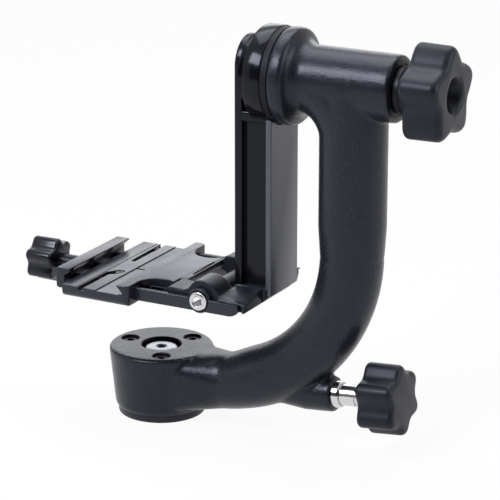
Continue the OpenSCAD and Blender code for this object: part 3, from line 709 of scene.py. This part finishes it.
def lobed_outline(radius, lobes, deep=1.0):
    """Plan of a lobed grip: round lobes joined by soft hollows."""
    count = lobes * 30
    step = math.tau / lobes
    # radii of the lobes, of the hollows and of the round core between them
    lobe, core = radius * 0.26, radius * 0.86
    hollow = radius * math.sin(step / 2) * 0.62 * deep
    raw = []
    for k in range(count):
        aim = on_circle(math.tau * k / count, 1)
        reach = core
        for i in range(lobes):
            reach = max(reach, crossing(aim, on_circle(step * i, radius - lobe), lobe, 1) or 0)
        for i in range(lobes):
            dip = crossing(aim, on_circle(step * (i + 0.5), radius * 1.09), hollow, -1)
            reach = min(reach, dip or reach)
        raw.append(reach)
    for _ in range(6):
        raw = [(raw[k - 1] + raw[k] * 2 + raw[(k + 1) % count]) / 4 for k in range(count)]
    scale = radius / max(raw)
    return [
        (r * scale * math.cos(math.tau * k / count), r * scale * math.sin(math.tau * k / count))
        for k, r in enumerate(raw)
    ]


def lobed_grip(radius, lobes, low, high, place, edge, deep=1.0):
    """Lobed grip with rounded rims, a little narrower at its outer end."""
    taper = 0.985
    bm, top = raised(lobed_outline(radius, lobes, deep), low, high)
    bmesh.ops.scale(bm, vec=(taper, taper, 1), verts=top)
    tidy(bm)
    for level, rim_r in ((low, edge * 0.8), (high, edge)):
        rim = [e for e in bm.edges if all(abs(v.co.z - level * MM) < 1e-7 for v in e.verts)]
        soften(bm, rim, rim_r, 6)
    bmesh.ops.transform(bm, matrix=place, verts=bm.verts)
    return tidy(bm)


class GIMBAL_OT_tilt_knob(bpy.types.Operator):
    """Large lobed knob on the tilt shaft, with its conical recess"""

    bl_idname = "gimbal.tilt_knob"
    bl_label = "Tilt knob"

    def execute(self, context):
        sizes = context.scene.gimbal_sizes
        turned = along_x() @ Matrix.Rotation(math.radians(36), 4, "Z")
        body = lobed_grip(26.65, sizes.tilt_lobes, 155.9, 178.5, turned, 4.2, deep=0.94)
        hub = lathe(
            [(0, 150.5), (12.6, 150.5), (13.4, 151.2), (14.6, 154), (15.2, 157), (0, 157)],
            along_x()
        )
        cone = lathe(
            [
                (0, 164.8), (4.4, 164.8), (4.8, 165.4), (8.9, 176.2), (9.6, 177.5), (10.8, 178.3),
                (12.4, 178.6), (12.4, 180), (0, 180),
            ],
            along_x(),
        )
        piece(
            "tilt_knob_grip", [body, hub], "knob", "tilt_lock", ["tilt_knob"],
            [rod(8, 149, 164, along_x()), cone], 35,
        )
        return {"FINISHED"}


class GIMBAL_OT_pan_knob(bpy.types.Operator):
    """Lobed knob of the pan lock"""

    bl_idname = "gimbal.pan_knob"
    bl_label = "Pan knob"

    def execute(self, context):
        sizes = context.scene.gimbal_sizes
        body = lobed_grip(20.4, sizes.pan_lobes, 19.7, 41.7, along_lock(), 3.4)
        hub = lathe([(0, 17.4), (7.8, 17.4), (8.8, 18.2), (10.5, 21), (0, 21)], along_lock())
        piece(
            "pan_knob_grip", [body, hub], "knob", "pan_lock", ["pan_knob"],
            [rod(4.55, 10, 34.3, along_lock(), 48)], 35,
        )
        return {"FINISHED"}


class GIMBAL_OT_clamp_knob(bpy.types.Operator):
    """Small fluted knob of the lens clamp"""

    bl_idname = "gimbal.clamp_knob"
    bl_label = "Clamp knob"

    def execute(self, context):
        sizes = context.scene.gimbal_sizes
        place = along_x(SCREW_Z, -67) @ Matrix.Rotation(math.pi, 4, "X")
        place = place @ Matrix.Rotation(math.radians(54), 4, "Z")
        body = lobed_grip(13.4, sizes.clamp_lobes, 0, 17, place, 2.0)
        piece(
            "clamp_knob_grip", [body], "gloss_knob", "clamp_turn", ["clamp_knob"],
            [rod(SCREW_BORE, -1, 7.6, place, 32)], 35,
        )
        sleeve = lathe(
            [(3.1, -67.6), (4.6, -67.6), (4.6, -50.3), (4.1, -49.7), (3.1, -49.7)],
            along_x(SCREW_Z), 64, True,
        )
        piece(
            "clamp_knob_sleeve", [sleeve], "gloss_knob", "clamp_turn", ["clamp_knob_collar"],
        )
        return {"FINISHED"}


def arc(centre, radius, first, last, steps=16):
    """Points along an arc in degrees, in millimetres."""
    turns = [math.radians(first + (last - first) * k / steps) for k in range(steps + 1)]
    return [(centre[0] + radius * math.cos(t), centre[1] + radius * math.sin(t)) for t in turns]


class GIMBAL_OT_swing_arm(bpy.types.Operator):
    """Gloss beam of the hanging arm: two flanges, web, ledge and hub disc"""

    bl_idname = "gimbal.swing_arm"
    bl_label = "Hanging arm"

    def execute(self, context):
        half, low = 16.0, 86.0
        outline = [(-half, low), (half, low), *arc((0, 211.3), half, 0, 180, 48)]
        outer = prism(outline, 56.4, 61.0, FRONT, 0.9, 3)
        inner = prism(
            rounded(rect(-half, 84.9, half, 186.4), [0.3, 0.3, 1.5, 1.5]), 75.7, 78.9, FRONT, 0.5
        )
        web = prism(rect(57.4, low, 78.0, 184), -12.4, 12.4, SIDE)
        ledge = prism(rect(58, 182, 77, 187.9), -15.6, 15.6, SIDE, 1.4, 4)
        hub = lathe(
            [
                (0, 58.4), (20, 60.5), (18.9, 63), (18.7, 64.5), (19.6, 65.8), (25.6, 66.5),
                (26.5, 66.9), (26.85, 67.8), (26.85, 76.2), (26.6, 76.8), (26.0, 77), (0, 77),
            ],
            along_x(),
        )
        pocket = lathe(
            [
                (0, 55), (14.45, 55), (14.45, 56.5), (14.05, 56.9), (14.05, 61), (7.55, 61),
                (7.55, 78), (0, 78),
            ],
            along_x(),
        )
        cuts = [rod(HUB_ROOM, 77, 80, along_x()), pocket]
        for y, z in three_spots(10.8, 90):
            cuts.append(rod(2.05, 55, 71.5, along_x(TILT_Z + z, 0, y), 32))
        piece(
            "swing_arm_beam", [outer, web, ledge, hub], "gloss", "swing", ["swing_arm"],
            cuts, 34,
        )
        piece(
            "swing_arm_flange", [inner], "flange", "swing", ["swing_arm"],
            [rod(HUB_ROOM, 70, 80, along_x())], 34,
        )
        return {"FINISHED"}


class GIMBAL_OT_swing_foot(bpy.types.Operator):
    """Foot of the hanging arm: two ears, wing, barrels, heel and the lips over the cheeks"""

    bl_idname = "gimbal.swing_foot"
    bl_label = "Arm foot"

    def execute(self, context):
        sizes = context.scene.gimbal_sizes
        # y of the ears' outer and inner faces, of the arm's edge and of the cheeks' outer faces
        out, inn, half, cheek = 33.5, 17.3, 16.0, 36.8
        # underside, back face on the near and far side, and top of the cheeks
        under, near_x, far_x, level = 79.7, 74.2, 70.5, 84.7
        crest = arc(HINGE, 10.8, 112, 38, 12)
        back = [
            (56.4, 87.2), (58.5, 86.4), (71.0, 85.7), (near_x, 85.4), (near_x, 81.4), (73.4, 80.5),
            (70.6, under),
        ]
        wing = [
            (49.3, 77.2), (34, 77.2), (25.6, 82.3), (23.7, 84.1), (23.6, 86.6), (24.7, 87.8),
            (33.6, 87.3), (36.8, 88.6), (39.2, 91.7),
        ]
        tip = [
            (49.3, 77.2), (45.3, 78), (36, 79), (32.5, 82.4), (31, 84.6), (31, 90.2), (33, 92.1),
            (41, 92.4),
        ]
        block = [
            (56.4, under), (70.6, under), (73.4, 80.5), (near_x, 81.4), (near_x, 85.4), (56.4, 86.5)
        ]
        far_back, far_block = [[(min(x, far_x), z) for x, z in line] for line in (back, block)]
        heel = [(71.7, 79.9), (73.4, 80.5), (near_x, 81.4), (near_x, 85.4), (71.7, 85.6)]
        solids = [
            prism([*wing, *crest, *back, (60, 78.7)], -out, -inn, SIDE),
            prism([*tip, *crest, *far_back, (60, 78.7)], inn, out, SIDE),
            prism(block, -out, half, SIDE),
            prism(far_block, half - 1, out, SIDE),
            prism(
                [
                    (56.4, under), (70.6, under), (73.4, 80.5), (78.6, 85.1), (78.6, 89.5),
                    (56.4, 89.5),
                ],
                -half, half, SIDE,
            ),
        ]

        def slope(x, rise):
            """Cross-section of the collar's sloped shoulders, as a thin slice."""
            line = [
                (-out, 81), (-out, level + 0.9), (-26, level + 1.1 + rise),
                (-half, level + 2 + 2 * rise), (-6, 90),
            ]
            line += [(-y, z) for y, z in reversed(line)]
            return prism(line, x, x + 0.4, FRONT)

        hill = combine(
            as_object("hill", hull_of(slope(57.4, 0), slope(73.8, 1.3))),
            [prism(rect(far_x, half, 80, 40), 70, 100, PLAN)],
            "DIFFERENCE",
        )
        solids += [
            taken(hill),
            rod(5.2, -18, 18, along_y(*HINGE), 64),
            prism(heel, -cheek, 1 - out, SIDE),
        ]
        for back_x, low_y, high_y in ((72.2, -cheek, 1 - out), (far_x, out - 1, cheek)):
            lip = [(56.2, level), (back_x, level), (back_x, level + 0.9), (56.2, level + 1.5)]
            solids.append(prism(lip, low_y, high_y, SIDE))
        cuts = [
            rod(SCREW_BORE, -60, 60, along_y(*HINGE), 48),
            rod(1.3, 29, 36, along_x(86.6, 0, 31.3), 24),
            prism(rect(54, 70, 71.6, level - 0.05), -40, -33.65, SIDE),
            prism(rect(54, 70, 75, level - 0.05), 33.65, 40, SIDE),
        ]
        piece(
            "swing_arm_foot", solids, "foot", "swing", ["swing_arm"], cuts, 38,
            (sizes.foot_voxel, 10),
        )
        return {"FINISHED"}


class GIMBAL_OT_platform(bpy.types.Operator):
    """Lens platform: clamp floor, fixed jaw, neck and the two cheeks"""

    bl_idname = "gimbal.platform"
    bl_label = "Lens platform"

    def execute(self, context):
        top, floor, low, shelf = 87.5, 82.6, 75.6, 77.6
        half, corner_r = 45, 3.4
        tail_x, tail_y = 27.5, (-16.8, 31.6)
        end = rounded(rect(-half, low, half, floor), [corner_r, corner_r, 0.5, 0.5])
        plate = prism(end, -37.8, 4.6, FRONT, 0.7, 3)
        bar = prism(
            rounded(rect(-2, -half, 5, half), [0.4, corner_r, corner_r, 0.4], 8), floor - 4, 85.2,
            PLAN,
        )
        # plan of the neck: rounded ends, a horn on each side, and the tail between them
        neck_line = [(-6, -half), *arc((1.6, -41.6), corner_r, -90, 0, 8), (5, -36)]
        neck_line += arc((16.3, -34.2), 11.5, 180, 56.2, 24)
        neck_line += [(22.7, tail_y[0]), (tail_x, tail_y[0]), (tail_x, tail_y[1])]
        neck_line += arc((16.3, 34.2), 11.5, -13.1, -180, 28)
        neck_line += [(5, 36), *arc((1.6, 41.6), corner_r, 0, 90, 8), (-6, half)]
        neck = prism(neck_line, 83.0, top, PLAN, 1.5, 5)
        rib = prism(
            [
                (3.5, -26), (22.7, -26), (22.7, tail_y[0]), (tail_x, tail_y[0]),
                (tail_x, tail_y[1]), (3.5, 34),
            ],
            shelf, 83.4, PLAN,
        )
        web = prism(rect(3.5, -36.8, 22.2, 36.8), shelf, shelf + 1.2, PLAN, 0.3)
        tail = prism(rect(20.5, -16.7, tail_x, 33.2), low, shelf + 1, PLAN, 0.4)
        side = [
            (1, shelf), (64.4, shelf), (66.4, 78.1), (68.1, 79.1), (69.1, 80.6), (69.4, 82),
            (69.4, 84.7), (1, 84.7),
        ]
        eye = [(0, -1.5), (6.4, -1.5), (7, -0.9), (7, 0.9), (6.4, 1.5), (0, 1.5)]
        cheeks = []
        for y in (-35.3, 35.3):
            cheeks.append(prism(side, y - 1.5, y + 1.5, SIDE, 0.45, 3))
            cheeks.append(lathe(eye, along_y(HINGE[0], HINGE[1], y), 72))
        corner = arc((1.6, -41.6), corner_r, 0, -90, 8) + [(1.6, -46), (6, -46), (6, -41.6)]
        pocket = rounded(
            [
                (-27.2, -50), (-23.6, -50), (-23.6, -17.5), (-18.6, -13.6), (-17.2, -10.2),
                (-19, -7.6), (-22.4, -7.8), (-24.8, -11.2), (-27.2, -14.5),
            ],
            [0, 0, 1.5, 1.2, 1.6, 1.6, 1.6, 2.4, 1.5],
        )
        far_pocket = rounded(
            [(-25.4, 9.3), (-22.6, 9.3), (-22.6, 46.5), (-26.2, 46.5)], [0.6, 0.6, 0, 0]
        )
        groove = [
            (-28.4, floor - 0.5), (-27.9, floor - 0.5), (-27.8, floor + 1), (-28.5, floor + 1)
        ]
        undercut = [(-8, floor), (1.2, floor), (1.2, 83.6), (-2, 86.8), (-2, 90), (-8, 90)]
        cuts = [
            # the ends' rounded corners
            prism(corner, 70, 90, PLAN),
            prism([(x, -y) for x, y in corner], 70, 90, PLAN),
            # undercut of the fixed jaw, the step of the floor and its groove
            prism(undercut, -50, 50, SIDE),
            prism(rect(-16, floor - 0.5, -1, floor + 1), -46, 46, SIDE),
            prism(groove, -46, 46, SIDE),
            # end pockets and their screws
            prism(pocket, floor - 1.9, floor + 2, PLAN),
            prism(far_pocket, floor - 1.9, floor + 2, PLAN),
            rod(1.55, 70, 82, along_z(-20.4, -10.6), 32),
            rod(1.55, 70, 82, along_z(-25, 38), 32),
            # slot in the tail, and the room under the neck
            prism(rounded(rect(25, -8, 26.4, 17), 0.6), 84.5, 89, PLAN),
            prism(rounded(rect(9.6, -30, 17.2, -23.2), 0.4), 78.6, 83.0, PLAN),
            prism(
                [(9.6, -24), (17.2, -24), (20, -12), (20, 18), (6, 18), (6, -12)], 80.6, 83.4, PLAN
            ),
            prism(rect(6, -15, 20, 18), 70, 83.4, PLAN),
            prism(rounded([(5.4, -30), (8.2, -30), (7.6, -15), (4.6, -15)], 0.3), 80.6, 82.9, PLAN),
            # clamp screw, guide pins and hinge
            rod(SCREW_BORE, -39, -10, along_x(SCREW_Z), 48),
            rod(PIN_BORE, -39, -14, along_x(SCREW_Z, 0, -PIN_Y), 32),
            rod(PIN_BORE, -39, -14, along_x(SCREW_Z, 0, PIN_Y), 32),
            lathe(
                [
                    (0, -60), (6.0, -60), (6.0, -36.6), (5.6, -36.2), (5.6, -35.4),
                    (SCREW_BORE, -35.4), (SCREW_BORE, 60), (0, 60),
                ],
                along_y(*HINGE), 64,
            ),
        ]
        piece(
            "lens_platform_body", [plate, bar, neck, rib, web, tail, *cheeks], "satin", "platform",
            ["lens_platform"], cuts, 30,
        )
        return {"FINISHED"}


class GIMBAL_OT_clamp_jaw(bpy.types.Operator):
    """Movable jaw of the lens clamp"""

    bl_idname = "gimbal.clamp_jaw"
    bl_label = "Movable jaw"

    def execute(self, context):
        outline = rounded(
            [(-49, 75.6), (-43.8, 75.6), (-43.8, 83.4), (-40.4, 86.8), (-40.4, 87.5), (-49, 87.5)],
            [1.6, 0.6, 0, 0.2, 0.3, 0.9],
        )
        jaw = prism(outline, -33, 33, SIDE, 0.5, 3)
        cuts = [rod(SCREW_BORE, -60, -40, along_x(SCREW_Z), 48)]
        cuts += [rod(PIN_BORE, -48, -40, along_x(SCREW_Z, 0, y), 32) for y in (-PIN_Y, PIN_Y)]
        piece(
            "clamp_jaw_body", [jaw], "satin", "jaw", ["clamp_jaw"], cuts, 30,
        )
        return {"FINISHED"}


class GIMBAL_OT_bright_parts(bpy.types.Operator):
    """Bright steel: centre screw, hinge bolt, and the pan lock's collar and rod"""

    bl_idname = "gimbal.bright_parts"
    bl_label = "Bright steel parts"

    def execute(self, context):
        head = lathe(
            [
                (0, 16), (4, 16), (4, 34.4), (9.3, 34.4), (9.3, 36.9), (9.1, 37.4), (8.5, 37.8),
                (7.2, 38), (0, 38),
            ],
            along_z(),
        )
        dish = lathe([(0, 37.3), (2.9, 37.3), (3.7, 38.3), (0, 38.3)], along_z(), 64)
        socket = hex_hole(33, 40, 4.6, along_z())
        piece(
            "centre_screw_head", [head], "steel", "base", ["centre_screw"],
            [dish, socket], 30,
        )

        bolt = lathe(
            [
                (0, -38.4), (4.0, -38.4), (4.9, -38.1), (5.25, -37.5), (5.25, -35.4), (3, -35.4),
                (3, 41), (2.6, 41.4), (0, 41.4),
            ],
            along_y(*HINGE), 72,
        )
        dish = lathe(
            [(0, -39), (3.3, -39), (3.3, -38.2), (2.9, -37.8), (0, -37.8)], along_y(*HINGE), 64
        )
        socket = hex_hole(-39, -32, 4.8, along_y(*HINGE))
        piece(
            "hinge_bolt_head", [bolt], "bright", "swing", ["hinge_bolt"],
            [dish, socket], 30,
        )

        collar = lathe(
            [(6.05, -2), (7.5, -2), (7.5, 3.0), (7.3, 3.6), (6.9, 4.0), (6.35, 4.0), (6.05, 3.7)],
            along_lock(), closed=True,
        )
        piece(
            "pan_lock_collar_ring", [collar], "bright", "support", ["pan_lock_collar"],
        )
        shaft = lathe(
            [
                (0, -89.4), (3.4, -89.4), (3.4, -28), (5, -28), (5, -1.6), (6, -1.6), (6, 13.0),
                (5.4, 13.3), (5.2, 14), (5.4, 14.7), (6, 15), (6, 17), (4.5, 17), (4.5, 34),
                (0, 34),
            ],
            along_lock(),
        )
        piece("pan_lock_rod_shaft", [shaft], "bright", "pan_lock", ["pan_lock_rod"])
        return {"FINISHED"}


class GIMBAL_OT_base_disc(bpy.types.Operator):
    """Disc under the housing, with its stud hole and screw holes"""

    bl_idname = "gimbal.base_disc"
    bl_label = "Base disc"

    def execute(self, context):
        disc = lathe(
            [(0, 0), (24.2, 0), (24.8, 0.3), (25, 0.9), (25, 4.7), (24.7, 5), (0, 5)], along_z()
        )
        stud = [(0, -1), (5.3, -1), (5.3, 0.1), (STUD_R, 0.7), (STUD_R, 6), (0, 6)]
        sink = [(0, -1), (3.2, -1), (3.2, 0), (1.6, 1.6), (1.6, 6), (0, 6)]
        cuts = [lathe(stud, along_z(), 64)]
        cuts += [lathe(sink, along_z(*spot), 32) for spot in three_spots(11.5, 30)]
        piece("base_disc_plate", [disc], "disc", "base", ["base_disc"], cuts, 30)
        return {"FINISHED"}


class GIMBAL_OT_nodes(bpy.types.Operator):
    """Finishes for the frame's own solids that stay as they are"""

    bl_idname = "gimbal.nodes"
    bl_label = "Other solids"

    def execute(self, context):
        mats = materials()
        finish_of = {
            "disc": "disc", "casting": "casting", "gloss_black": "gloss", "satin_black": "satin",
            "knob": "knob", "gloss_knob": "gloss_knob", "steel": "steel", "bright_steel": "bright",
            "black_steel": "black_steel", "friction": "friction", "nylon": "nylon",
        }
        # bright in the record, and dark in the photograph where they show
        # the guide pins sit deep in the jaw's shaded undercut, so their black here is painted shade
        dark = (
            "tilt_washer", "tilt_bearing_outer", "tilt_knob_insert", "stop_screws", "guide_pins",
            "clamp_screw",
        )
        for part in frame["record"]["subparts"]:
            obj = NODES[part["node"]]
            black_or_shaded = part["node"] in dark
            mat = mats["black_steel" if black_or_shaded else finish_of[part["material_slot"]]]
            if obj.material_slots:
                for slot in obj.material_slots:
                    slot.material = mat
            else:
                obj.data.materials.append(mat)
        return {"FINISHED"}


# ---- studio ----

FLOOR_GLOW = 0.92  # share of plain white in what is seen of the floor
LAMP_COLOUR = (0.93, 0.95, 1.0)
CARD_STRETCH = (5.5, 3.6, 1)  # width and height of the dark card
CARD_SPOT = (0.75, -2.1, 1.2)
CARD_TURN = 20  # degrees about the vertical
CAMERA_SPOT = (0.659105, -1.121236, 0.512411)
CAMERA_AZIMUTH, CAMERA_ELEVATION = 28.213, 17.781  # degrees


def seen_directly(tree):
    """Socket that is 1 for rays from the camera, a reflection or glass, and 0 for the others."""
    path = node(tree, "ShaderNodeLightPath").outputs
    seen = path["Is Camera Ray"]
    for ray in ("Is Glossy Ray", "Is Transmission Ray"):
        seen = math_of(tree, "MAXIMUM", seen, path[ray])
    return seen


def matt(name, grey):
    """Rough material of one grey, and its shader."""
    mat = bpy.data.materials.new(name)
    mat.use_nodes = True
    shader = mat.node_tree.nodes["Principled BSDF"]
    shader.inputs["Base Color"].default_value = (grey, grey, grey, 1)
    shader.inputs["Roughness"].default_value = 1.0
    return mat, shader

class GIMBAL_OT_studio(bpy.types.Operator):
    """Pale floor, soft lights and the camera"""

    bl_idname = "gimbal.studio"
    bl_label = "Studio"

    def execute(self, context):
        scene = context.scene
        studio = scene.gimbal_studio
        scene.view_settings.view_transform = "Standard"
        bm = bmesh.new()
        bmesh.ops.create_grid(bm, x_segments=2, y_segments=2, size=6.0)
        floor = as_object("studio_floor", bm)
        mat, shader = matt("Studio floor", 0.86)
        shader.inputs["Specular IOR Level"].default_value = 0.0
        tree = mat.node_tree
        share = math_of(tree, "MULTIPLY", seen_directly(tree), FLOOR_GLOW)
        glow = node(tree, "ShaderNodeEmission")
        mix = node(
            tree, "ShaderNodeMixShader", {0: share, 1: shader.outputs[0], 2: glow.outputs[0]}
        )
        tree.links.new(mix.outputs[0], tree.nodes["Material Output"].inputs["Surface"])
        floor.data.materials.append(mat)

        world = bpy.data.worlds.new("Studio")
        scene.world = world
        world.use_nodes = True
        tree = world.node_tree
        ground = tree.nodes["Background"]
        ground.inputs["Strength"].default_value = studio.fill
        white = node(tree, "ShaderNodeBackground", {"Strength": 1.0})
        mix = node(
            tree, "ShaderNodeMixShader",
            {0: seen_directly(tree), 1: ground.outputs[0], 2: white.outputs[0]},
        )
        tree.links.new(mix.outputs[0], tree.nodes["World Output"].inputs["Surface"])

        middle = Vector((0.05, 0.0, 0.11))
        for name, spot, size, power in (
            ("top_light", (-0.1, 0.35, 1.25), (1.1, 0.9), studio.top),
            ("key_light", (-0.35, -0.95, 1.05), (0.8, 0.5), studio.key),
            ("right_light", (1.3, 0.25, 0.55), (0.4, 0.9), studio.right),
            ("back_light", (-0.72, 1.36, 0.62), (1.6, 0.7), studio.back),
        ):
            data = bpy.data.lights.new(name, "AREA")
            data.color = LAMP_COLOUR
            data.shape = "RECTANGLE"
            data.size, data.size_y = size
            data.energy = power
            lamp = bpy.data.objects.new(name, data)
            lamp.visible_camera = False
            scene.collection.objects.link(lamp)
            lamp.location = spot
            lamp.rotation_mode = "QUATERNION"
            lamp.rotation_quaternion = (middle - Vector(spot)).to_track_quat("-Z", "Y")

        # dark card behind the camera, seen only in reflections
        bm = bmesh.new()
        bmesh.ops.create_grid(bm, x_segments=1, y_segments=1, size=0.5)
        bmesh.ops.scale(bm, vec=CARD_STRETCH, verts=bm.verts)
        turn = Matrix.Rotation(math.radians(CARD_TURN), 4, "Z") @ Matrix.Rotation(
            math.radians(90), 4, "X"
        )
        bmesh.ops.transform(bm, matrix=Matrix.Translation(CARD_SPOT) @ turn, verts=bm.verts)
        card = as_object("studio_card", bm)
        card.data.materials.append(matt("Dark card", 0.02)[0])
        for ray in ("camera", "diffuse", "shadow", "transmission"):
            setattr(card, "visible_" + ray, False)

        data = bpy.data.cameras.new("Camera")
        data.sensor_width = 36.0
        data.sensor_fit = "HORIZONTAL"
        data.lens = studio.lens
        data.clip_start, data.clip_end = 0.05, 20.0
        camera = bpy.data.objects.new("Camera", data)
        scene.collection.objects.link(camera)
        azimuth, elevation = math.radians(CAMERA_AZIMUTH), math.radians(CAMERA_ELEVATION)
        flat = math.cos(elevation)
        back = Vector((math.sin(azimuth) * flat, -math.cos(azimuth) * flat, math.sin(elevation)))
        camera.location = CAMERA_SPOT
        camera.rotation_mode = "QUATERNION"
        camera.rotation_quaternion = (-back).to_track_quat("-Z", "Y")
        scene.camera = camera
        return {"FINISHED"}


class GIMBAL_PT_panel(bpy.types.Panel):
    """Lists the pieces in the 3D view's sidebar"""

    bl_idname = "GIMBAL_PT_panel"
    bl_label = "Gimbal Head"
    bl_space_type = "VIEW_3D"
    bl_region_type = "UI"
    bl_category = "Gimbal Head"

    def draw(self, context):
        layout = self.layout
        for settings in ("gimbal_sizes", "gimbal_finish", "gimbal_studio"):
            group_of = getattr(context.scene, settings)
            box = layout.box()
            for key in group_of.__annotations__:
                box.prop(group_of, key)
        for operator in BUILD_ORDER:
            layout.operator(operator.bl_idname)


SETTINGS = {
    "gimbal_sizes": GimbalSizes, "gimbal_finish": GimbalFinish, "gimbal_studio": GimbalStudio
}
BUILD_ORDER = (
    GIMBAL_OT_studio,
    GIMBAL_OT_nodes,
    GIMBAL_OT_support_arm,
    GIMBAL_OT_tilt_knob,
    GIMBAL_OT_pan_knob,
    GIMBAL_OT_clamp_knob,
    GIMBAL_OT_swing_arm,
    GIMBAL_OT_swing_foot,
    GIMBAL_OT_platform,
    GIMBAL_OT_clamp_jaw,
    GIMBAL_OT_bright_parts,
    GIMBAL_OT_base_disc,
)


def register():
    for cls in (*SETTINGS.values(), *BUILD_ORDER, GIMBAL_PT_panel):
        bpy.utils.register_class(cls)
    for name, cls in SETTINGS.items():
        setattr(bpy.types.Scene, name, PointerProperty(type=cls))


def unregister():
    for name in SETTINGS:
        delattr(bpy.types.Scene, name)
    for cls in reversed((*SETTINGS.values(), *BUILD_ORDER, GIMBAL_PT_panel)):
        bpy.utils.unregister_class(cls)


def main():
    register()
    for operator in BUILD_ORDER:
        space, name = operator.bl_idname.split(".")
        getattr(getattr(bpy.ops, space), name)()


if __name__ == "__main__":
    main()
